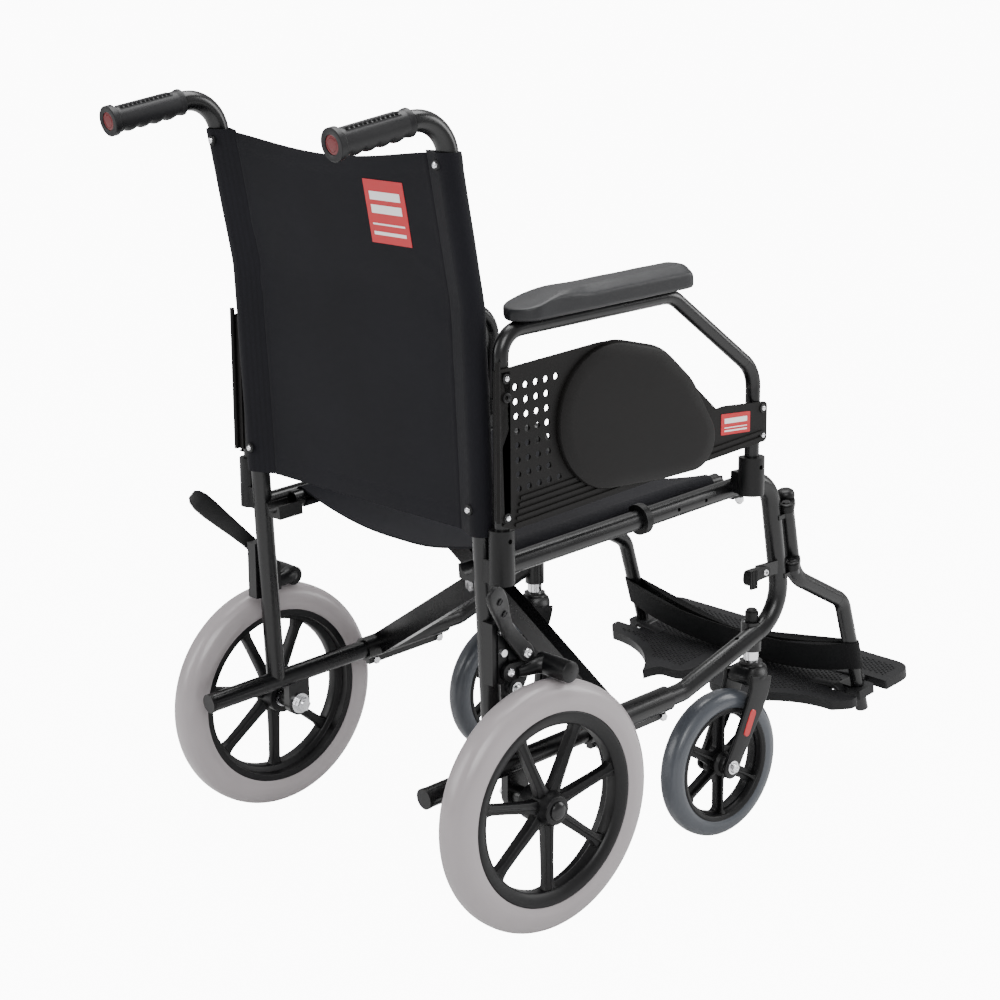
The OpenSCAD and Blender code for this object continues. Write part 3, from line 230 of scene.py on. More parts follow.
# ---------------------------------------------------------------- mesh building, in chair millimetres
class Shape:
    """Closed shells gathered into one mesh. Left-hand pieces are drawn, and right-hand ones mirrored."""

    def __init__(self):
        self.points, self.faces, self.uvs = [], [], {}

    def add(self, points, faces, place=None, uvs=None):
        first = len(self.points)
        self.points += [place @ Vector(p) if place else Vector(p) for p in points]
        for i, face in enumerate(faces):
            self.faces.append(tuple(first + k for k in face))
            if uvs:
                self.uvs[len(self.faces) - 1] = uvs[i]
        return self

    def loft(self, rings, place=None, cap=True, wrap=False, uvs=None):
        """Skin over rings of equal length. cap closes the ends, and wrap joins the last ring to the first."""
        n = len(rings[0])
        points = [p for ring in rings for p in ring]
        faces, coords = [], []
        last = len(rings) if wrap else len(rings) - 1
        for i in range(last):
            a, b = i * n, ((i + 1) % len(rings)) * n
            for k in range(n):
                q = (k + 1) % n
                faces.append((a + k, a + q, b + q, b + k))
                if uvs:
                    coords.append((uvs(i, k), uvs(i, k + 1), uvs(i + 1, k + 1), uvs(i + 1, k)))
        if cap and not wrap:
            end = (len(rings) - 1) * n
            faces += [tuple(range(n - 1, -1, -1)), tuple(range(end, end + n))]
        if uvs:
            coords += [None] * (len(faces) - len(coords))
        return self.add(points, faces, place, coords if uvs else None)

    def lathe(self, profile, place, steps=64, closed=True):
        """Turns a profile of (radius, height) round local z. Open ones start and end on the axis."""
        rings = []
        for i in range(steps):
            c, s = math.cos(2 * math.pi * i / steps), math.sin(2 * math.pi * i / steps)
            rings.append([(r * c, r * s, h) for r, h in profile])
        if closed:
            return self.loft(rings, place, wrap=True)
        n = len(profile)
        points = [(0, 0, profile[0][1]), (0, 0, profile[-1][1])]
        points += [p for ring in rings for p in ring[1:-1]]
        m, faces = n - 2, []
        for i in range(steps):
            a, b = 2 + i * m, 2 + ((i + 1) % steps) * m
            faces.append((0, b, a))
            faces += [(a + k, b + k, b + k + 1, a + k + 1) for k in range(m - 1)]
            faces.append((a + m - 1, b + m - 1, 1))
        return self.add(points, faces, place)

    def prism(self, outline, low, high, place, holes=()):
        """Flat plate with holes, from local z low to high."""
        loops = [list(outline)] + [list(h) for h in holes]
        flat = [p for loop in loops for p in loop]
        triangles = tessellate_polygon([[Vector((x, y, 0)) for x, y in loop] for loop in loops])
        n = len(flat)
        points = [(x, y, low) for x, y in flat] + [(x, y, high) for x, y in flat]
        faces = [tuple(t) for t in triangles] + [tuple(n + k for k in reversed(t)) for t in triangles]
        start = 0
        for loop in loops:
            m = len(loop)
            for k in range(m):
                a, b = start + k, start + (k + 1) % m
                faces.append((a, b, n + b, n + a))
            start += m
        return self.add(points, faces, place)

    def tube(self, path, radius, steps=24):
        """Round bar through points; radius is a number, or one for each point."""
        radii = radius if isinstance(radius, (list, tuple)) else [radius] * len(path)
        return self.sweep(path, [circle(r, steps) for r in radii])

    def sweep(self, path, sections):
        """Moves 2D sections along a path, with as little twist as it allows."""
        path = [Vector(p) for p in path]
        rings, x = [], None
        for i, p in enumerate(path):
            d = heading(path, i)
            if x is None:
                x = (Vector((0, 1, 0)) if abs(d.y) < 0.9 else Vector((1, 0, 0))).cross(d).normalized()
            else:
                x = (x - d * x.dot(d)).normalized()
            y = d.cross(x)
            rings.append([p + x * a + y * b for a, b in sections[i]])
        return self.loft(rings)


def heading(path, i):
    """Direction of a path at its point i."""
    return (path[min(i + 1, len(path) - 1)] - path[max(i - 1, 0)]).normalized()


def circle(r, steps=24, cx=0.0, cy=0.0):
    turns = [2 * math.pi * i / steps for i in range(steps)]
    return [(cx + r * math.cos(a), cy + r * math.sin(a)) for a in turns]


def rounded(points, radius, steps=5):
    """Polygon with rounded corners; radius is a number, or one for each corner."""
    out, n = [], len(points)
    for i in range(n):
        r = radius[i] if isinstance(radius, (list, tuple)) else radius
        a, b, c = (Vector(points[k % n]) for k in (i - 1, i, i + 1))
        u, v = (a - b), (c - b)
        r = min(r, u.length * 0.49, v.length * 0.49)
        if r < 0.01:
            out.append(tuple(b))
            continue
        p, q = b + u.normalized() * r, b + v.normalized() * r
        for k in range(steps + 1):
            t = k / steps
            out.append(tuple(p * (1 - t) ** 2 + b * 2 * t * (1 - t) + q * t * t))
    return out


def box_section(w, h, r):
    return rounded([(-w / 2, -h / 2), (w / 2, -h / 2), (w / 2, h / 2), (-w / 2, h / 2)], r, 4)


def smooth_path(points, steps=8):
    """Catmull-Rom curve through points."""
    pts = [Vector(p) for p in points]
    pts = [pts[0] * 2 - pts[1]] + pts + [pts[-1] * 2 - pts[-2]]
    out = []
    for i in range(1, len(pts) - 2):
        a, b, c, d = pts[i - 1:i + 3]
        for k in range(steps):
            t = k / steps
            out.append(0.5 * (2 * b + (c - a) * t + (2 * a - 5 * b + 4 * c - d) * t ** 2
                              + (3 * b - a - 3 * c + d) * t ** 3))
    return out + [pts[-2]]


def facing(x, y, z):
    """Local z outwards along +Y, local x forwards, local y down."""
    return Matrix.Translation((x, y, z)) @ Matrix.Rotation(math.radians(-90), 4, "X")


def side_points(points):
    """Side-view (x, z) points for a prism placed by facing(0, y, 0)."""
    return [(x, -z) for x, z in points]


def piece(name, shape, material, body, side="left", nodes=(), bevel=0.0, subdivide=0, sharp=32.0, ride=True):
    """Makes the object, mirrored for the right-hand side."""
    flip = -1 if side == "right" else 1
    mesh = bpy.data.meshes.new(name)
    mesh.from_pydata([row(p.x, p.y * flip, p.z) for p in shape.points], [], shape.faces)
    if shape.uvs:
        layer = mesh.uv_layers.new(name="UVMap")
        for index, coords in shape.uvs.items():
            if coords:
                for loop, uv in zip(mesh.polygons[index].loop_indices, coords):
                    layer.data[loop].uv = uv
    work = bmesh.new()
    work.from_mesh(mesh)
    bmesh.ops.recalc_face_normals(work, faces=work.faces)
    work.to_mesh(mesh)
    work.free()
    mesh.polygons.foreach_set("use_smooth", [True] * len(mesh.polygons))
    mesh.set_sharp_from_angle(angle=math.radians(sharp))
    mesh.materials.append(MATERIALS[material] if isinstance(material, str) else material)
    obj = bpy.data.objects.new(name, mesh)
    bpy.context.scene.collection.objects.link(obj)
    if bevel:
        mod = obj.modifiers.new("Bevel", "BEVEL")
        mod.width, mod.segments, mod.limit_method = bevel * MM, 2, "ANGLE"
        mod.angle_limit = math.radians(38)
        mesh.set_sharp_from_angle(angle=math.radians(60))
    if subdivide:
        mod = obj.modifiers.new("Subdivision", "SUBSURF")
        mod.levels = mod.render_levels = subdivide
    if ride:
        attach(obj, body)
    if nodes:
        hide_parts(*nodes)
    return obj


def pair(name, shape, material, body, nodes=(), **options):
    """The same piece on both sides; body and node names get the side."""
    return [
        piece(f"{side}_{name}", shape, material, f"{body}_{side}", side,
              tuple(f"{side}_{n}" for n in nodes), **options)
        for side in SIDES
    ]


def screw_head(shape, place, r, h):
    """Domed screw head with a round recess."""
    recess = 0.45
    shape.lathe([(0, 0), (r, 0), (r, h * 0.45), (r * 0.86, h * 0.85), (r * 0.6, h), (r * recess, h),
                 (r * recess, h * 0.45), (0, h * 0.45)], place, 24, closed=False)


def hex_nut(shape, place, radius, height):
    shape.lathe([(0, 0), (radius, 0), (radius, height * 0.85), (radius * 0.86, height), (0, height)],
                place, 6, closed=False)


# ---------------------------------------------------------------- sizes read off the chair
FRAME_Y = 225.0
RAIL_TILT = math.radians(4.3)
RAIL_SLOPE = math.tan(RAIL_TILT)
POST_LEAN, RECLINE = math.tan(math.radians(2.8)), math.tan(math.radians(10.7))
KINK_Z = 765.0
HANDLE_Z, HANDLE_LENGTH, HANDLE_DROP = 983.5, 146, math.radians(9.7)
STEM_X, STEM_Y = 471, 216
KINK_X = 8.5 - (KINK_Z - 195.64) * POST_LEAN


def post_x(z):
    """Middle of the back post at height z, with the kink rounded."""
    d, soft = z - KINK_Z, 9.0
    if abs(d) < soft:
        t = (d + soft) / (2 * soft)
        return KINK_X + POST_LEAN * soft - 2 * soft * (POST_LEAN * t + (RECLINE - POST_LEAN) * t * t / 2)
    return KINK_X - d * (POST_LEAN if d < 0 else RECLINE)


def top_rail(x):
    return 446 + RAIL_SLOPE * x


def low_rail(x):
    return 195 + RAIL_SLOPE * x


# ---------------------------------------------------------------- back cloth
BACK_LOW, BACK_HIGH = 492.0, 940.0
SEAM_IN = 38.0
CLOTH = 2.2


def sleeve_ring(z, r, tip):
    """Teardrop loop round the post at height z, with its point towards the middle."""
    theta = math.acos(r / tip)
    ring = [(tip, 0.45)]
    ring += [(r * math.cos(a), r * math.sin(a)) for a in
             (theta + (2 * math.pi - 2 * theta) * i / 30 for i in range(31))]
    ring += [(tip, -0.45)]
    cx = post_x(z)
    return [(cx + w, FRAME_Y - u, z) for u, w in ring]


def crease(y, z, seed):
    """Soft pulls and wrinkles of the back cloth, in millimetres."""
    p = Vector((y * 0.006, z * 0.0042, seed))
    soft = noise.noise(p) * 1.6
    edge = max(0.0, 1 - abs(abs(y) - 190) / 90)
    pull = noise.noise(Vector((y * 0.012, (z + abs(y) * 0.5) * 0.035, seed + 4))) * 1.5
    return soft + pull * edge * math.exp(-((z - KINK_Z) / 90) ** 2) * 1.6


def back_sleeve():
    shape = Shape()
    rows = 46
    heights = [BACK_LOW + (BACK_HIGH - BACK_LOW) * i / rows for i in range(rows + 1)]
    outer, inner = [], []
    for z in heights:
        bulge = 0.5 * noise.noise(Vector((z * 0.02, 3.1, 0.4)))
        hem = 0.7 if z < BACK_LOW + 20 or z > BACK_HIGH - 18 else 0.0
        outer.append(sleeve_ring(z, 15.4 + hem + bulge, SEAM_IN))
        inner.append(sleeve_ring(z, 13.3, SEAM_IN - 3))
    shape.loft(outer + inner[::-1], wrap=True,
               uvs=lambda i, k: (k * 4 * MM, i * (BACK_HIGH - BACK_LOW) / rows * MM))
    return shape


def top_edge(y):
    """Height of the back cloth's top edge, which hangs a little between the posts."""
    return BACK_HIGH - 3 - 15 * max(0.0, math.cos(math.pi / 2 * y / (FRAME_Y - SEAM_IN))) ** 1.2


def back_panel():
    half = FRAME_Y - SEAM_IN + 3
    cols, rows = 88, 96
    hem_tall, welt = 24.0, 8.0

    def at(i, k, sign):
        y = -half + 2 * half * k / cols
        top = top_edge(min(abs(y), half - 3))
        z = BACK_LOW + (top - BACK_LOW) * i / rows
        base = post_x(z) + crease(y, z, 1.7)
        thick = CLOTH / 2
        if top - z < hem_tall or z - BACK_LOW < hem_tall:
            thick += 0.55
        if abs(top - z - hem_tall) < 2.6 or abs(z - BACK_LOW - hem_tall) < 2.6:
            thick -= 0.7
        reach = half - abs(y)
        if reach < welt:
            thick += 0.6 * math.sin(math.pi * reach / welt)
        thick *= 0.35 + 0.65 * min(1.0, reach / 2.0)
        return (base + sign * thick, y, z)

    loops = []
    for i in range(rows + 1):
        loops.append([at(i, k, -1) for k in range(cols + 1)] + [at(i, k, 1) for k in range(cols, -1, -1)])
    shape = Shape()
    n = cols + 1

    def uv(i, k):
        k = k if k < n else 2 * n - 1 - k
        return (k * 2 * half / cols * MM, i * (BACK_HIGH - BACK_LOW) / rows * MM)

    shape.loft(loops, cap=False, uvs=uv)
    for start in (0, rows * 2 * n):
        for k in range(cols):
            shape.faces.append((start + k, start + k + 1, start + 2 * n - 2 - k, start + 2 * n - 1 - k))
    return shape


for side in SIDES:
    sleeve = piece(f"{side}_back_sleeve", back_sleeve(), "upholstery", f"side_frame_{side}", side, sharp=50)
panel = piece("back_panel", back_panel(), "upholstery", "side_frame_right", nodes=("back_upholstery",),
              sharp=60)
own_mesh(panel)


def back_patch():
    """Printed label on the rear face of the back cloth, high on the right."""
    shape = Shape()
    across, tall, steps = 75.0, 76.0, 12
    y0, z0 = -134.0, 822.0

    def at(i, k, out):
        y, z = y0 + across * k / steps, z0 + tall * i / steps
        return (post_x(z) + crease(y, z, 1.7) - CLOTH / 2 - out, y, z)

    rings = [[at(i, k, 0.45) for k in range(steps + 1)] + [at(i, k, -0.2) for k in range(steps, -1, -1)]
             for i in range(steps + 1)]
    shape.loft(rings)
    bars = Shape()
    cells = 8
    for low, high, a, b in ((52, 62, 0.12, 0.88), (36, 46, 0.12, 0.88), (22, 24, 0.1, 0.9),
                            (10, 14, 0.1, 0.9)):
        strip = []
        for i in range(3):
            z = z0 + low + (high - low) * i / 2
            ys = [y0 + across * (a + (b - a) * k / cells) for k in range(cells + 1)]
            front = [(post_x(z) + crease(y, z, 1.7) - CLOTH / 2 - 0.75, y, z) for y in ys]
            back = [(p[0] + 0.5, p[1], p[2]) for p in reversed(front)]
            strip.append(front + back)
        bars.loft(strip)
    return shape, bars


patch, patch_bars = back_patch()
for name, shape, material in (("back_patch", patch, RED_PRINT), ("back_patch_bars", patch_bars, WHITE_PRINT)):
    label = piece(name, shape, material, "side_frame_right")
    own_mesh(label)

# Screw with a black washer through each sleeve, below its top.
head, washer = Shape(), Shape()
for z in (926.0, 524.0):
    spot = Matrix.Translation((post_x(z) - 15.6, FRAME_Y - 4, z)) @ Matrix.Rotation(math.radians(-90), 4, "Y")
    screw_head(head, spot @ Matrix.Translation((0, 0, 1.6)), 3.8, 2.6)
    washer.lathe([(2.5, 0), (6.5, 0), (6.0, 1.8), (2.5, 1.8)], spot, 28)
pair("sleeve_screws", head, "plated_steel", "side_frame")
pair("sleeve_washers", washer, "black_plastic", "side_frame")


# ---------------------------------------------------------------- hand grips
def hand_grip():
    drop = HANDLE_DROP
    end = Vector((KINK_X - (HANDLE_Z - KINK_Z) * RECLINE - HANDLE_LENGTH * math.cos(drop), FRAME_Y,
                  HANDLE_Z - HANDLE_LENGTH * math.sin(drop)))
    back = Vector((-math.cos(drop), 0, -math.sin(drop)))
    down = Vector((math.sin(drop), 0, -math.cos(drop)))
    across = down.cross(back)
    mouth = end - back * 98
    place = Matrix((
        (down.x, across.x, back.x, mouth.x), (down.y, across.y, back.y, mouth.y),
        (down.z, across.z, back.z, mouth.z), (0, 0, 0, 1)))
    length, steps, around = 106.0, 132, 72
    rings = []
    for i in range(steps + 1):
        s = length * i / steps
        ring = []
        for k in range(around):
            a = 2 * math.pi * k / around
            r = 15.2
            r += 1.4 * max(0.0, 1 - s / 7) * (2 - max(0.0, 1 - s / 7))
            if 12 < s < 92:
                r += 2.6 * max(0.0, math.cos(a)) ** 3 * abs(math.sin(math.pi * (s - 12) / 19))
            if s > 98:
                r = 19.0 - (0.8 if s > 105.5 else 0.0)
            elif s > 95:
                r = 15.2 + (19.0 - 15.2) * (s - 95) / 3
            top = abs(abs(math.degrees(math.atan2(math.sin(a), -math.cos(a)))) - 24)
            if 14 < s < 90:
                if top < 9:
                    r -= 2.4 if (s - 14) % 6.2 > 2.2 else 0.5
                elif top < 13:
                    r += 0.9
            ring.append((r * math.cos(a), r * math.sin(a), s))
        rings.append(ring)
    # The end's pocket for the disc, its floor, and the bore that takes the tube.
    for r, s in ((12.2, length), (11.4, length - 0.6), (11.4, length - 2.4), (11.172, length - 2.6),
                 (0.55, length - 2.6), (0.55, length - 10.0), (12.56, length - 10.0), (12.56, 0.0)):
        rings.append([(x, y, s) for x, y in circle(r, around)])
    shape = Shape().loft(rings, place, wrap=True)
    disc = Shape().lathe([(0, -2.2), (11.2, -2.2), (11.2, -1.3), (10.2, -0.9), (8.6, -0.9), (8.2, -1.3),
                          (7.6, -1.3), (7.2, -0.8), (0, -0.5)],
                         place @ Matrix.Translation((0, 0, length)), 40, closed=False)
    return shape, disc


grip, grip_disc = hand_grip()
pair("grip", grip, "grip_rubber", "side_frame", ("hand_grip",), sharp=40)
pair("grip_disc", grip_disc, RED_INLAY, "side_frame")


# ---------------------------------------------------------------- armrests
ARM_Y = 253.0
ARM_SLOPE = math.atan(0.045)


def arm_pad():
    """Skinned foam pad: flat top with wide chamfers that die out towards its round, thinner rear end."""
    origin = Vector((13.5, ARM_Y, 735 + 10.5))
    place = Matrix.Translation(origin) @ Matrix.Rotation(-ARM_SLOPE, 4, "Y")
    length, half, tall = 276.0, 28.5, 30.0
    rings = []
    steps = 64
    for i in range(steps + 1):
        s = length * (0.5 - 0.5 * math.cos(math.pi * i / steps)) * 0.6 + length * i / steps * 0.4
        rear = min(1.0, s / 26.0)
        front = min(1.0, (length - s) / 15.0)
        nose = math.sqrt(max(0.0, 1 - (1 - front) ** 2))
        w = half * math.sqrt(max(0.02, 1 - (1 - rear) ** 2)) * (0.8 + 0.2 * nose)
        rise = min(1.0, s / 78.0)
        h = tall * (0.56 + 0.44 * (rise * rise * (3 - 2 * rise)))
        h *= 0.86 + 0.14 * nose
        h *= 0.8 + 0.2 * math.sqrt(max(0.0, 1 - (1 - rear) ** 2))
        chamfer = 3 + 11 * min(1.0, max(0.0, (s - 40) / 60.0))
        section = rounded([
            (-w + 3, 0), (w - 3, 0), (w, 3.5), (w, h - chamfer * 0.75), (w - chamfer, h - 0.8),
            (0, h), (-w + chamfer, h - 0.8), (-w, h - chamfer * 0.75), (-w, 3.5)],
            [2, 2, 2, 3.5, 4.5, 6, 4.5, 3.5, 2], 3)
        sag = 0.25 * noise.noise(Vector((s * 0.03, 1.0, 2.0)))
        rings.append([(s, y, z + sag) for y, z in section])
    first = [(-1.4, y * 0.82, 3 + (z - 3) * 0.75) for _, y, z in rings[0]]
    last = [(length + 1.2, y * 0.88, 4 + (z - 4) * 0.8) for _, y, z in rings[-1]]
    return Shape().loft([first] + rings + [last], place)


for pad in pair("pad", arm_pad(), "arm_pad", "armrest", ("arm_pad",), sharp=70, subdivide=1):
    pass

PANEL_Y = 262.9
PANEL_LOW = 503.0


def hull_outline(circles):
    """Convex outline round circles (x, z, r)."""
    points = sorted(set((round(x, 4), round(z, 4)) for cx, cz, r in circles
                        for x, z in circle(r, 72, cx, cz)))

    def chain(pts):
        out = []
        for p in pts:
            while len(out) > 1 and ((out[-1][0] - out[-2][0]) * (p[1] - out[-2][1])
                                    - (out[-1][1] - out[-2][1]) * (p[0] - out[-2][0])) <= 0:
                out.pop()
            out.append(p)
        return out[:-1]

    return chain(points) + chain(points[::-1])


def side_panel():
    low = PANEL_LOW
    boss = [(x, max(z, low + 20)) for x, z in
            hull_outline([(162, 617, 89), (205, 612, 84), (240, 597, 72), (298, 566, 39)])]
    top = sorted([(x, z + 1.5) for x, z in boss if z > 606 and x > 150], key=lambda p: -p[0])
    outline = rounded([(-13, low + 8), (8, low), (437, low + 41), (437, low + 92), (354, low + 97)],
                      [6, 8, 6, 6, 10])
    outline += top + [(140, low + 204), (-13, low + 191)]
    holes = [circle(4.1, 20, 15 + 15.7 * c - 0.7 * k, low + 48 + 17.2 * k + 1.1 * c)
             for k in range(8) for c in range(5) if not (c == 4 and 0 < k < 7)]
    plate = facing(0, PANEL_Y, 0)
    shape = Shape().prism(side_points(outline), 0.2, 3.2, plate, [side_points(h) for h in holes])
    middle = Vector((210, low + 104))
    rings = []
    for inset, height in ((0.0, 2.6), (0.2, 6.6), (1.6, 9.0), (4.6, 10.2), (20, 10.9), (60, 11.2)):
        ring = []
        for x, z in boss:
            d = Vector((x, z)) - middle
            p = middle + d * max(0.05, 1 - inset / d.length)
            ring.append((p.x, -p.y, height))
        rings.append(ring)
    shape.loft(rings, plate)

    def ridge(x0, x1, z):
        slope, tall = 0.0955, 4.2
        edge = [(x0, z + slope * x0), (x1, z + slope * x1), (x1, z + tall + slope * x1),
                (x0, z + tall + slope * x0)]
        shape.prism(side_points(rounded(edge, 1.2, 3)), 2.8, 5.2, plate)

    for i in range(5):
        ridge(8 + 2 * i, 200 - 24 * i, low + 3 + 7.6 * i)
    for i in range(2):
        ridge(322 + 12 * i, 430, low + 3 + 7.6 * i)
    lip = smooth_path([(-15.2, PANEL_Y + 1.4, low + 12), (-15.2, PANEL_Y + 1.4, low + 100),
                       (-15.2, PANEL_Y + 1.4, low + 200)], 4)
    shape.tube(lip, [3.2] * len(lip), 16)
    channel = [(-12.6, PANEL_Y - 10), (-10.6, PANEL_Y - 10), (-10.6, PANEL_Y + 0.5), (2, PANEL_Y + 0.5),
               (2, PANEL_Y + 3.2), (-12.6, PANEL_Y + 3.2)]
    shape.prism(channel, low + 12, low + 188, Matrix.Identity(4))
    return shape


pair("panel", side_panel(), "panel_plastic", "armrest", ("side_panel",))
screws, cups = Shape(), Shape()
for x, z in ((-4, PANEL_LOW + 180), (-3, PANEL_LOW + 16), (429, PANEL_LOW + 84), (429, PANEL_LOW + 49)):
    screw_head(screws, facing(x, PANEL_Y + 3.4, z), 3.4, 2.4)
    cups.lathe([(3.7, 0), (6.2, 0), (5.8, 1.6), (3.9, 1.2)], facing(x, PANEL_Y + 3.1, z), 28)
cups.lathe([(2.4, 0), (6.4, 0), (6.0, 2.2), (4.6, 2.6), (3.2, 1.4), (2.4, 0.8)],
           facing(-4, PANEL_Y + 3.1, PANEL_LOW + 158), 28)
pair("panel_screws", screws, "plated_steel", "armrest")
pair("panel_cups", cups, "black_plastic", "armrest")
tag = Shape().prism(side_points(rounded([(352, 563), (405, 560.5), (405, 587), (352, 590)], 1.5, 3)),
                    3.0, 3.7, facing(0, PANEL_Y, 0))
tag_bars = Shape()
for z, tall in ((576.5, 6.5), (570.5, 1.2), (566, 2.0)):
    bar = [(358, z + 0.6), (399, z - 1.2), (399, z + tall - 1.2), (358, z + tall + 0.6)]
    tag_bars.prism(side_points(bar), 3.6, 4.0, facing(0, PANEL_Y, 0))
pair("tag", tag, RED_PRINT, "armrest")
pair("tag_bars", tag_bars, WHITE_PRINT, "armrest")


# ---------------------------------------------------------------- rear wheels
REAR = facing(42, 279, 157)


def tyre_profile(inner, outer, half, ridge):
    """Section of a solid tyre, with two fine mould lines beside its crown."""
    flank = outer - inner
    out = [(inner, -half * 0.86)]
    steps = 26
    for i in range(steps + 1):
        a = math.pi * i / steps
        z = -half * math.copysign(abs(math.cos(a)) ** 0.72, math.cos(a))
        r = inner + flank * (0.22 + 0.78 * max(0.0, math.sin(a)) ** 0.82)
        if i in ridge:
            r -= 0.5
        out.append((r, z))
    out.append((inner, half * 0.86))
    return out


def rear_rim():
    shape = Shape()
    shape.lathe([(121.8, -19), (121.8, 18.5), (120.5, 20), (117, 20.2), (107.5, 17.2), (104.5, 14), (104, 0),
                 (106, -3.5), (112.8, -6), (113, -19)], REAR, 96)
    shape.lathe([(14.1, -24), (22.4, -24), (22.8, -20), (22.2, 8), (21, 15), (18.6, 18), (18.2, 22.4),
                 (16.8, 23.4), (11.2, 23.4), (11.2, 21.6), (9, 21.6), (9, -14), (14.1, -14)], REAR, 64)
    for i in range(7):
        turn = REAR @ Matrix.Rotation(math.radians(90 + i * 360 / 7), 4, "Z")
        rings = []
        for r, w, low, high in ((17, 9.4, -6, 12), (25, 7.8, -5.5, 12.6), (34, 6.7, -5, 12.8),
                                (70, 6.0, -4, 12.8), (94, 6.2, -3, 13.2), (102, 8.2, -2.6, 13.8),
                                (106, 11.5, -2.4, 14.6)):
            half = [(w * 0.75, low), (w, low + 3), (w, high - 3.6), (w * 0.62, high - 2.4), (1.6, high - 1.6),
                    (0.9, high)]
            rings.append([(r, y, z) for y, z in half] + [(r, -y, z) for y, z in reversed(half)])
        shape.loft(rings, turn)
    return shape


pair("wheel", rear_rim(), "wheel_plastic", "rear_wheel", ("rear_rim",), bevel=0.6)
pair("wheel_tyre", Shape().lathe(tyre_profile(121.9, 157, 22.4, (7, 19)), REAR, 128), "rear_tyre",
     "rear_wheel", ("rear_tyre",), sharp=30)
hub_cap = [(0, 21.8), (11, 21.8), (12, 23.6), (11.6, 25.6), (9.4, 27.6), (5.5, 28.8), (0, 29.2)]
pair("wheel_cap", Shape().lathe(hub_cap, REAR, 40, closed=False), "frame_paint", "rear_wheel")


# ---------------------------------------------------------------- casters
CASTER = facing(411, STEM_Y, 100)


def caster_rim():
    shape = Shape()
    shape.lathe([(77.9, -14.4), (77.9, 14.4), (76, 15.2), (71.5, 13.6), (69.6, 10), (69.2, 0), (69.6, -10),
                 (71.5, -13.6), (76, -15.2)], CASTER, 96)
    shape.lathe([(4.2, -18.8), (10.5, -18.8), (12, -17), (12.6, -12), (17, -9), (18, 0), (17, 9), (12.6, 12),
                 (12, 17), (10.5, 18.8), (4.2, 18.8)], CASTER, 48)
    holes = []
    for i in range(6):
        mid = math.radians(i * 60)

        def polar(r, a):
            return (r * math.cos(mid + a), r * math.sin(mid + a))

        corners = [polar(25, -0.2), polar(25, 0.2)]
        corners += [polar(67, 0.41 - 0.82 * k / 6) for k in range(7)]
        holes.append(rounded(corners, [4, 4, 8, 1, 1, 1, 1, 1, 8], 4))
    shape.prism(circle(70.5, 96), -3.6, 3.6, CASTER, holes)
    for i in range(6):
        turn = CASTER @ Matrix.Rotation(math.radians(30 + i * 60), 4, "Z")
        rings = []
        for r, w, h in ((15, 2.6, 9.5), (22, 1.8, 9.2), (50, 1.5, 8.4), (64, 1.8, 9), (70.2, 3.6, 12)):
            rings.append([(r, y, z) for y, z in box_section(2 * w, 2 * h, 1.0)])
        shape.loft(rings, turn)
    return shape


pair("caster", caster_rim(), "wheel_plastic", "caster_wheel", ("caster_rim",), bevel=0.5)
pair("caster_band", Shape().lathe(tyre_profile(78, 100, 16.4, (6, 20)), CASTER, 112), "caster_tyre",
     "caster_wheel", ("caster_tyre",), sharp=30)


def fork():
    shape = Shape()
    stem = Matrix.Translation((STEM_X, STEM_Y, 0))
    shape.lathe([(0, 214), (17, 214), (18.6, 217), (18.8, 222), (16.6, 226), (15.4, 227), (15.4, 230),
                 (6.0, 230.2), (6.0, 282.8), (0, 282.8)], stem, 48, closed=False)
    crown = []
    for z, along, across, cx in ((203.4, 33, 50.5, 463), (205, 37, 52.6, 463.5), (211, 41, 53, 465),
                                 (216, 41, 50, 467), (220.5, 38.5, 43, 469.5), (223.5, 36, 37.5, 470.5),
                                 (225, 31, 31, STEM_X)):
        section = box_section(along, across, min(along, across) * 0.44)
        crown.append([(cx + a, STEM_Y + b, z) for a, b in section])
    shape.loft(crown)
    for s in (-1, 1):
        path = smooth_path([(466, 0, 214), (462, 0, 196), (451, 0, 172), (437, 0, 146), (423, 0, 120),
                            (411, 0, 98), (405, 0, 85)], 6)
        rings = []
        for i, p in enumerate(path):
            t = i / (len(path) - 1)
            d = heading(path, i)
            square = Vector((d.z, 0, -d.x))
            wide = 40 - 13 * min(1.0, t * 1.5)
            wide *= math.sqrt(max(0.06, 1 - max(0.0, (t - 0.86) / 0.14) ** 2))
            thick = 6.8 if t > 0.04 else 5.5
            y = STEM_Y + s * (23.0 + 0.9 * math.sin(math.pi * min(1.0, t * 1.4)))
            rings.append([Vector((p.x, y, p.z)) + square * a + Vector((0, b, 0))
                          for a, b in box_section(wide, thick, 2.9)])
        shape.loft(rings)
    return shape


def pill(x, z, along, across, lean, y):
    place = facing(x, y, z) @ Matrix.Rotation(math.radians(lean), 4, "Z")
    edge = rounded([(-across / 2, -along / 2), (across / 2, -along / 2), (across / 2, along / 2),
                    (-across / 2, along / 2)], across * 0.48, 8)
    return Shape().loft([[(a, b, -1.5) for a, b in edge], [(a, b, 0.4) for a, b in edge],
                         [(a * 0.9, b * 0.96, 0.9) for a, b in edge]], place)


pair("fork", fork(), "fork_plastic", "caster_fork", ("caster_fork",), sharp=50)
pair("fork_inlay", pill(442, 155, 37, 11.5, 24, 243.2), RED_GLOW, "caster_fork")
fork_bolts = Shape()
for s in (0, 1):
    out = CASTER @ Matrix.Rotation(math.radians(180 * s), 4, "X")
    fork_bolts.lathe([(4.2, 26.8), (9.2, 26.8), (9.2, 28.2), (7.2, 28.4), (6.4, 31.0), (5.0, 33.4),
                      (2.6, 33.6), (2.6, 31.6), (0.4, 31.6), (0.4, 26.9)], out, 28)
pair("caster_bolts", fork_bolts, "plated_steel", "caster_fork")


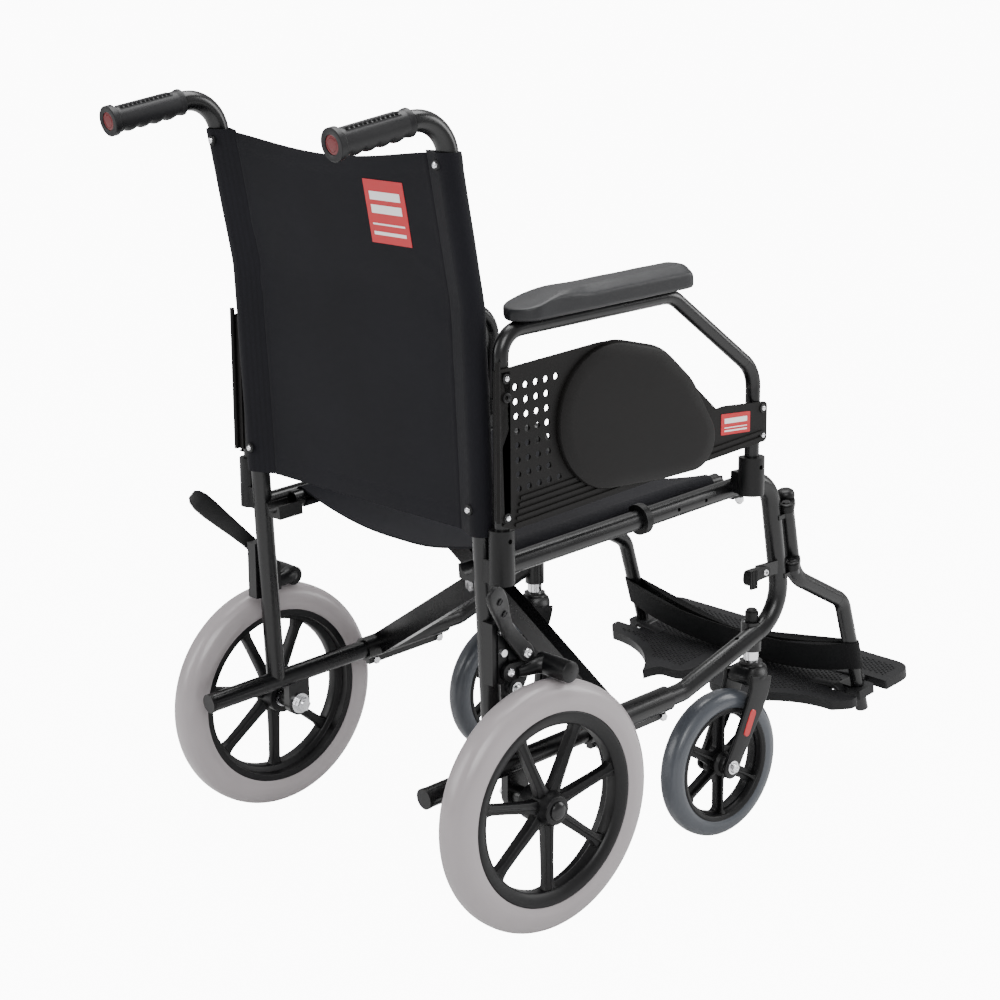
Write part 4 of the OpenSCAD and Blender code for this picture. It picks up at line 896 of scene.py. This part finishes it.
# ---------------------------------------------------------------- leg rests and footplates
HINGE_LEAN = math.radians(9.3)
PLATE = joint_point("left_footplate_flip")
PLATE_TILT = math.radians(8.5)
PLATE_PLACE = Matrix.Translation(PLATE) @ Matrix.Rotation(-PLATE_TILT, 4, "Y")


def inside(p, poly):
    hit = False
    for i in range(len(poly)):
        (x0, y0), (x1, y1) = poly[i - 1], poly[i]
        if (y0 > p[1]) != (y1 > p[1]) and p[0] < (x1 - x0) * (p[1] - y0) / (y1 - y0) + x0:
            hit = not hit
    return hit


def edge_gap(p, poly):
    best, q = 1e9, Vector(p)
    for i in range(len(poly)):
        a, b = Vector(poly[i - 1]), Vector(poly[i])
        d = b - a
        t = max(0.0, min(1.0, (q - a).dot(d) / max(d.length_squared, 1e-9)))
        best = min(best, (q - a - d * t).length)
    return best


def footplate():
    """Moulded plate, cut back in an arc of the caster's reach round its stem."""
    sx, sy, reach = (STEM_X - PLATE.x) / math.cos(PLATE_TILT), 21.0, 165.0
    curve = []
    for i in range(17):
        y = -118 + 142 * i / 16
        curve.append((sx + math.sqrt(reach ** 2 - (y - sy) ** 2), y))
    outline = [(93, 45), (93, -175), (-112, -175), (-114, -126)] + curve
    outline += [(-44, 45), (-31, 45), (-31, -9), (-16, -9), (-16, 36), (16, 36), (16, -9), (31, -9), (31, 45)]
    radii = [40, 46, 34, 24] + [0] * 16 + [3, 8, 3, 3, 0.5, 2, 2, 0.5, 3, 3]
    outline = rounded(outline, radii, 6)
    shape = Shape().prism(outline, -9, 4.6, PLATE_PLACE)
    for ix in range(-15, 15):
        for iy in range(-28, 9):
            x, y = ix * 6.2 + (3.1 if iy % 2 else 0), iy * 5.4
            if inside((x, y), outline) and edge_gap((x, y), outline) > 13:
                shape.lathe([(0, 4.2), (2.1, 4.2), (1.6, 5.7), (0, 5.7)],
                            PLATE_PLACE @ Matrix.Translation((x, y, 0)), 6, closed=False)
    for s in (-1, 1):
        ear = PLATE_PLACE @ Matrix.Translation((s * 22.5, 0, 0)) @ Matrix.Rotation(math.radians(90), 4, "Y")
        shape.lathe([(4.2, -6.6), (9.4, -6.6), (10.6, -5.2), (10.6, 5.2), (9.4, 6.6), (4.2, 6.6)], ear, 40)
        rings = [[(s * 22.5 + a, y, z) for a, z in box_section(12 + grow, tall, 2.5)]
                 for y, grow, tall in ((0, 0, 19), (-12, 1, 17.5), (-28, 3, 14.5), (-44, 6, 11))]
        shape.loft(rings, PLATE_PLACE)
    return shape


pair("footplate_tread", footplate(), "footplate_plastic", "footplate", ("footplate",), bevel=0.8)
bolts = Shape()
for s in (-1, 1):
    screw_head(bolts, PLATE_PLACE @ Matrix.Translation((s * 29.2, 0, 0))
               @ Matrix.Rotation(math.radians(90 * s), 4, "Y"), 5.6, 3.4)
pair("footplate_bolts", bolts, "plated_steel", "legrest")

LEG_Y = 215.0
SHIN_LEAN = math.radians(16.8)


def shin_x(z):
    """Middle of the leg rest's lower leg at height z."""
    return PLATE.x - (z - PLATE.z) * math.tan(SHIN_LEAN)


def calf_strap():
    """Loop of webbing round the lower leg, running to the middle of the chair."""
    low, high, t = 172.0, 212.0, 1.7
    ri, runs = 11.7, 22
    shape = Shape()
    rings = []
    for i in range(9):
        z = low + (high - low) * i / 8
        cx = shin_x(z)
        arc = [math.radians(-78 + 156 * k / 16) for k in range(17)]
        ys = [(LEG_Y - 2) * (1 - k / runs) + 0.4 * k / runs for k in range(1, runs + 1)]

        def layer(r, grow):
            """One face of the loop at this height: rear run, bend round the leg, front run."""
            run = [(ri * max(0.12, (y / LEG_Y) ** 0.8) * 0.98 + grow, 5 * (1 - (y / LEG_Y) ** 2)) for y in ys]
            rear = [(cx - reach - slack, y) for (reach, slack), y in zip(run, ys)]
            front = [(cx + reach - slack, y) for (reach, slack), y in zip(run, ys)]
            return rear[::-1] + [(cx + r * math.sin(a), LEG_Y + r * math.cos(a)) for a in arc] + front

        around = layer(ri + t, t) + layer(ri, 0.0)[::-1]
        rings.append([(x, y, z - 30 * max(0.0, 1 - (y / LEG_Y) ** 2) ** 0.8) for x, y in around])
    shape.loft(rings, uvs=lambda i, k: (k * 0.008, i * 0.0055))
    return shape


straps = pair("strap", calf_strap(), "strap_webbing", "legrest", ("calf_strap",), sharp=60)
for side, strap in zip(SIDES, straps):
    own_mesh(strap)


def hinge_covers():
    """Lobed hinge pieces on the leg rest, with the domed plug in the tube's top."""
    shape = Shape()
    hinge = joint_point("left_legrest_swing")
    for drop in (0, 82):
        foot = hinge + Vector((drop * math.tan(HINGE_LEAN), 0, -drop))
        place = Matrix.Translation(foot) @ Matrix.Rotation(-HINGE_LEAN, 4, "Y")
        lobe = hull_outline([(0, 0, 9.6), (17.5, -15.5, 11.5)])
        shape.loft([[(x, y, -1.4) for x, y in lobe], [(x, y, 4.8) for x, y in lobe],
                    [(x * 0.97, y * 0.97, 6.2) for x, y in lobe]], place)
        shape.lathe([(5.3, 6.0), (8.2, 6.0), (8.2, 8.4), (6.6, 9.6), (5.3, 9.6)], place, 32)
    return shape


pair("hinge_lobes", hinge_covers(), "black_plastic", "legrest", sharp=40)
plug_place = Matrix.Translation((534, LEG_Y, 441)) @ Matrix.Rotation(math.radians(-9), 4, "Y")
plug = Shape().lathe([(0, 2), (12.4, 2), (12.8, 4), (12.6, 8), (11.4, 11), (8.5, 13.2), (4, 14.2), (0, 14.4)],
                     plug_place, 40, closed=False)
pair("legrest_plug", plug, "black_plastic", "legrest")


def latch():
    x, z = joint_point("left_latch_turn").x, joint_point("left_latch_turn").z
    place = facing(x, 237.6, z)
    shape = Shape()
    body = rounded([(9, -6), (9, 7), (-8, 8), (-30, 13), (-38, 7), (-36, -8), (-12, -9)],
                   [5, 6, 5, 4, 5, 5, 6], 4)
    shape.prism(body, 0.2, 6.2, place, [circle(3.1, 20)])
    tab = rounded([(-26, 14), (-40, 9), (-38, -10), (-26, -9)], 3, 3)
    shape.prism(tab, 4, 15, place)
    for i in range(5):
        shape.prism(rounded([(-27 - 2.8 * i, 14.4), (-28.6 - 2.8 * i, 14.0), (-28.6 - 2.8 * i, -10.4),
                             (-27 - 2.8 * i, -10.2)], 0.5, 2), 14.6, 17.4, place)
    return shape


pair("latch", latch(), "black_plastic", "latch", ("latch_lever",), bevel=0.5)
rivet = Shape()
screw_head(rivet, facing(joint_point("left_latch_turn").x, 244.0, joint_point("left_latch_turn").z), 4.2, 2.2)
pair("latch_rivet", rivet, "plated_steel", "latch")


# ---------------------------------------------------------------- brakes
def brake_lever():
    """Cranked lever that flares outwards to a rounded paddle with two holes."""
    pivot = joint_point("left_brake_lever_turn")
    turn = Matrix.Translation((30, 257, pivot.z)) @ Matrix.Rotation(math.radians(-131.4), 4, "Y")
    shape = Shape()
    rings = []
    stations = ((-12, 0.2, 9, 5), (-9, 0.2, 17, 5.2), (0, 0.2, 23, 5.2), (12, 0.2, 21, 5.2),
                (36, 0.8, 19, 5.2), (52, 5, 19, 5.4), (70, 14, 21, 6.0), (90, 25, 24, 7.4),
                (108, 34, 27, 8.4), (124, 41, 27, 8.4), (134, 44.5, 22, 7.2), (139, 46, 13, 5.0))
    path = [Vector((x, 2.6 + y, 0)) for x, y, _, _ in stations]
    for i, (_, _, wide, thick) in enumerate(stations):
        d = heading(path, i)
        normal = Vector((-d.y, d.x, 0))
        rings.append([path[i] + normal * b + Vector((0, 0, a))
                      for a, b in box_section(wide, thick, thick * 0.42)])
    shape.loft(rings, turn)
    return shape, turn


lever, lever_place = brake_lever()
pair("brake_handle", lever, "bracket_black", "brake_lever", ("brake_lever",), sharp=60)
dots, pivots = Shape(), Shape()
for x, y in ((88, 31.6), (116, 45.2)):
    d = Vector((18, 10.5, 0)).normalized()
    spot = lever_place @ Matrix.Translation((x, y, 0)) @ Matrix.Rotation(math.atan2(d.y, d.x), 4, "Z") \
        @ Matrix.Rotation(math.radians(-90), 4, "X")
    dots.lathe([(0, 0), (4.6, 0), (4.6, 0.9), (3.6, 1.3), (3.4, 0.4), (0, 0.3)], spot, 24, closed=False)
pair("brake_plugs", dots, "grip_rubber", "brake_lever")
screw_head(pivots, facing(30, 262.4, joint_point("left_brake_lever_turn").z), 6.0, 3.2)
pair("brake_pivot_screw", pivots, "plated_steel", "brake_lever")


def brake_shoe():
    pivot = joint_point("left_brake_arm_turn")
    place = facing(pivot.x, 251.0, pivot.z)
    shape = Shape()
    plate = hull_outline([(0, 0, 11), (52, 0, 8.5)])
    shape.prism(plate, 0.1, 5.2, place, [circle(4.2, 24)])
    path = smooth_path([(10, 2, 4), (28, 2, 3), (44, 0, 5), (54, 0, 16), (54, 0, 52)], 6)
    radii = [6.5 + (12.6 - 6.5) * min(1.0, i / (len(path) * 0.62)) for i in range(len(path))]
    radii[-1], radii[-2] = 10.0, 12.2
    shape.tube([place @ p for p in path], radii, 28)
    shape.lathe([(9.5, 0), (13.0, 0), (13.0, 52), (11.5, 53.4), (0.5, 53.4), (0.5, 0)],
                place @ Matrix.Translation((53, 0, 0)), 40)
    return shape


pair("brake_shoe", brake_shoe(), "bracket_black", "brake_arm", ("brake_arm",), sharp=45)
shoe_screw = Shape()
arm_turn = joint_point("left_brake_arm_turn")
screw_head(shoe_screw, facing(arm_turn.x, 256.4, arm_turn.z), 5.4, 3.0)
pair("brake_shoe_screw", shoe_screw, "plated_steel", "brake_arm")


# ---------------------------------------------------------------- seat
def seat_cloth():
    """Sling between the seat rails, with a sleeve round each rail that is cut away for the brace bars."""
    rail_y, rail_r = 197.0, 11.0
    tilt = RAIL_TILT
    mid = Vector((190 - 140 * math.sin(tilt), 0, low_rail(190) + 140 * math.cos(tilt)))
    rail_v = 251 * math.cos(tilt) + 3 - 140
    place = Matrix.Translation(mid) @ Matrix.Rotation(-tilt, 4, "Y")
    sag = 31.0
    top_v = rail_v + rail_r + 0.6
    x0, x1 = 48 - mid.x, 410 - mid.x

    def skin(path, a, b, steps, wave):
        rings = []
        for i in range(steps + 1):
            x = a + (b - a) * i / steps
            out, back = [], []
            for k, (y, v) in enumerate(path):
                q = path[min(k + 1, len(path) - 1)]
                p = path[max(k - 1, 0)]
                d = Vector((q[0] - p[0], q[1] - p[1])).normalized()
                lift = wave * noise.noise(Vector((x * 0.012, y * 0.012, 2.2))) * (1 - (y / rail_y) ** 2)
                hem = 0.5 if min(x - a, b - x) < 18 else 0.0
                n = Vector((-d.y, d.x)) * (CLOTH / 2 + hem * 0.5)
                out.append((x, y + n.x, v + n.y + lift))
                back.append((x, y - n.x, v - n.y + lift))
            rings.append(out + back[::-1])
        shape.loft(rings, place, uvs=lambda i, k: (i * (b - a) / steps * MM, k * 6 * MM))

    shape = Shape()
    sling = []
    r = rail_r + 0.5 + CLOTH / 2
    for k in range(9):
        t = math.radians(190 - 100 * k / 8)
        sling.append((-rail_y + r * math.cos(t), rail_v + r * math.sin(t)))
    for k in range(1, 40):
        y = -rail_y + 2 * rail_y * k / 40
        sling.append((y, top_v + CLOTH / 2 - sag * (1 - (y / rail_y) ** 2)))
    for k in range(9):
        t = math.radians(90 - 100 * k / 8)
        sling.append((rail_y + r * math.cos(t), rail_v + r * math.sin(t)))
    skin(sling, x0, x1, 40, 2.2)
    for s in (-1, 1):
        loop = [(s * (rail_y + r * math.cos(t)), rail_v + r * math.sin(t))
                for t in (math.radians(-12 - 150 * k / 12) for k in range(13))]
        loop.append((s * (rail_y - 26), rail_v - 3))
        for a, b in ((x0, 10 - 24), (10 + 24, x1)):
            skin(loop, a, b, 10, 0.0)
    return shape


seat = piece("seat_cloth", seat_cloth(), "upholstery", "", nodes=("seat_upholstery",), sharp=60, ride=False)
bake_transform(seat)

# ---------------------------------------------------------------- screws of the frame and brace
def along_rail(x, y, z):
    return Matrix.Translation((x, y, z)) @ Matrix.Rotation(-RAIL_TILT, 4, "Y")


silver = Shape()
for x in (176, 290):
    for s, tall in ((1, 6.0), (-1, 4.4)):
        spot = along_rail(x, FRAME_Y + 4.2 * s, low_rail(x) - 19.5)
        hex_nut(silver, spot @ Matrix.Rotation(math.radians(-90 * s), 4, "X"), 5.6, tall)
for side, body in (("left", "cross_brace_left"), ("right", "cross_brace_right")):
    piece(f"{side}_sleeve_nuts", silver, "plated_steel", body, side)

dome = Shape().lathe([(0, 296.5), (7.0, 296.5), (7.6, 298), (7.4, 300), (5.5, 301.6), (0, 302)],
                     Matrix.Translation((STEM_X, STEM_Y, 0)), 28, closed=False)
pair("stem_cap_top", dome, "black_plastic", "side_frame")

# ---------------------------------------------------------------- floor, light and camera
WHITE_GLOW = 14.0
floor_mesh = bpy.data.meshes.new("floor")
floor_mesh.from_pydata([(-30, -30, 0), (30, -30, 0), (30, 30, 0), (-30, 30, 0)], [], [(0, 1, 2, 3)])
floor = bpy.data.objects.new("floor", floor_mesh)
bpy.context.scene.collection.objects.link(floor)
floor_mesh.materials.append(coated("floor", (0.86, 0.86, 0.86), 0.9, 200.0, 0.00002, spread=0.01, spec=0.0))


def white_to_camera(tree, kind, shader, output, share):
    """Mixes bright white over a shader for rays from the camera alone, which the scene isn't lit by."""
    glow, path, part, mix = (tree.nodes.new(name) for name in (
        kind, "ShaderNodeLightPath", "ShaderNodeMath", "ShaderNodeMixShader"))
    glow.inputs["Strength"].default_value = WHITE_GLOW
    part.operation = "MULTIPLY"
    part.inputs[1].default_value = share
    tree.links.new(path.outputs["Is Camera Ray"], part.inputs[0])
    tree.links.new(part.outputs[0], mix.inputs[0])
    tree.links.new(tree.nodes[shader].outputs[0], mix.inputs[1])
    tree.links.new(glow.outputs[0], mix.inputs[2])
    tree.links.new(mix.outputs[0], tree.nodes[output].inputs["Surface"])


white_to_camera(floor_mesh.materials[0].node_tree, "ShaderNodeEmission", "Principled BSDF",
                "Material Output", 0.8)

world = bpy.data.worlds.new("studio")
bpy.context.scene.world = world
world.use_nodes = True
world.node_tree.nodes["Background"].inputs["Color"].default_value = (1, 1, 1, 1)
world.node_tree.nodes["Background"].inputs["Strength"].default_value = 0.62
white_to_camera(world.node_tree, "ShaderNodeBackground", "Background", "World Output", 1.0)


def softbox(name, place, target, size, watts):
    data = bpy.data.lights.new(name, "AREA")
    data.shape, data.size, data.size_y, data.energy = "RECTANGLE", size[0], size[1], watts
    lamp = bpy.data.objects.new(name, data)
    lamp.location = place
    lamp.rotation_euler = (Vector(target) - Vector(place)).to_track_quat("-Z", "Y").to_euler()
    bpy.context.scene.collection.objects.link(lamp)


softbox("key", (-2.4, -3.4, 3.0), (0, 0, 0.5), (2.2, 2.2), 150)
softbox("fill", (-3.4, 2.2, 2.0), (0, 0, 0.5), (1.6, 2.4), 70)
softbox("top", (0.4, 0.2, 3.4), (0, 0, 0.4), (2.4, 2.4), 150)
softbox("front", (3.2, -2.0, 2.0), (0, 0, 0.5), (1.4, 2.4), 90)

RIGHT = Vector((0.75416, -0.65665, -0.00696))
UP = Vector((0.15895, 0.17226, 0.97214))
VIEW = Vector((0.63716, 0.73426, -0.23429))
eye = row(-1633.09, -2129.70, 1169.06)
camera_data = bpy.data.cameras.new("camera")
camera_data.sensor_width, camera_data.lens = 36.0, 79.86
camera_data.shift_x, camera_data.shift_y = 0.00114, -0.0265
camera = bpy.data.objects.new("camera", camera_data)
camera.matrix_world = Matrix((
    (RIGHT.x, UP.x, -VIEW.x, eye.x), (RIGHT.y, UP.y, -VIEW.y, eye.y), (RIGHT.z, UP.z, -VIEW.z, eye.z),
    (0, 0, 0, 1)))
bpy.context.scene.collection.objects.link(camera)
bpy.context.scene.camera = camera

bpy.context.view_layer.update()
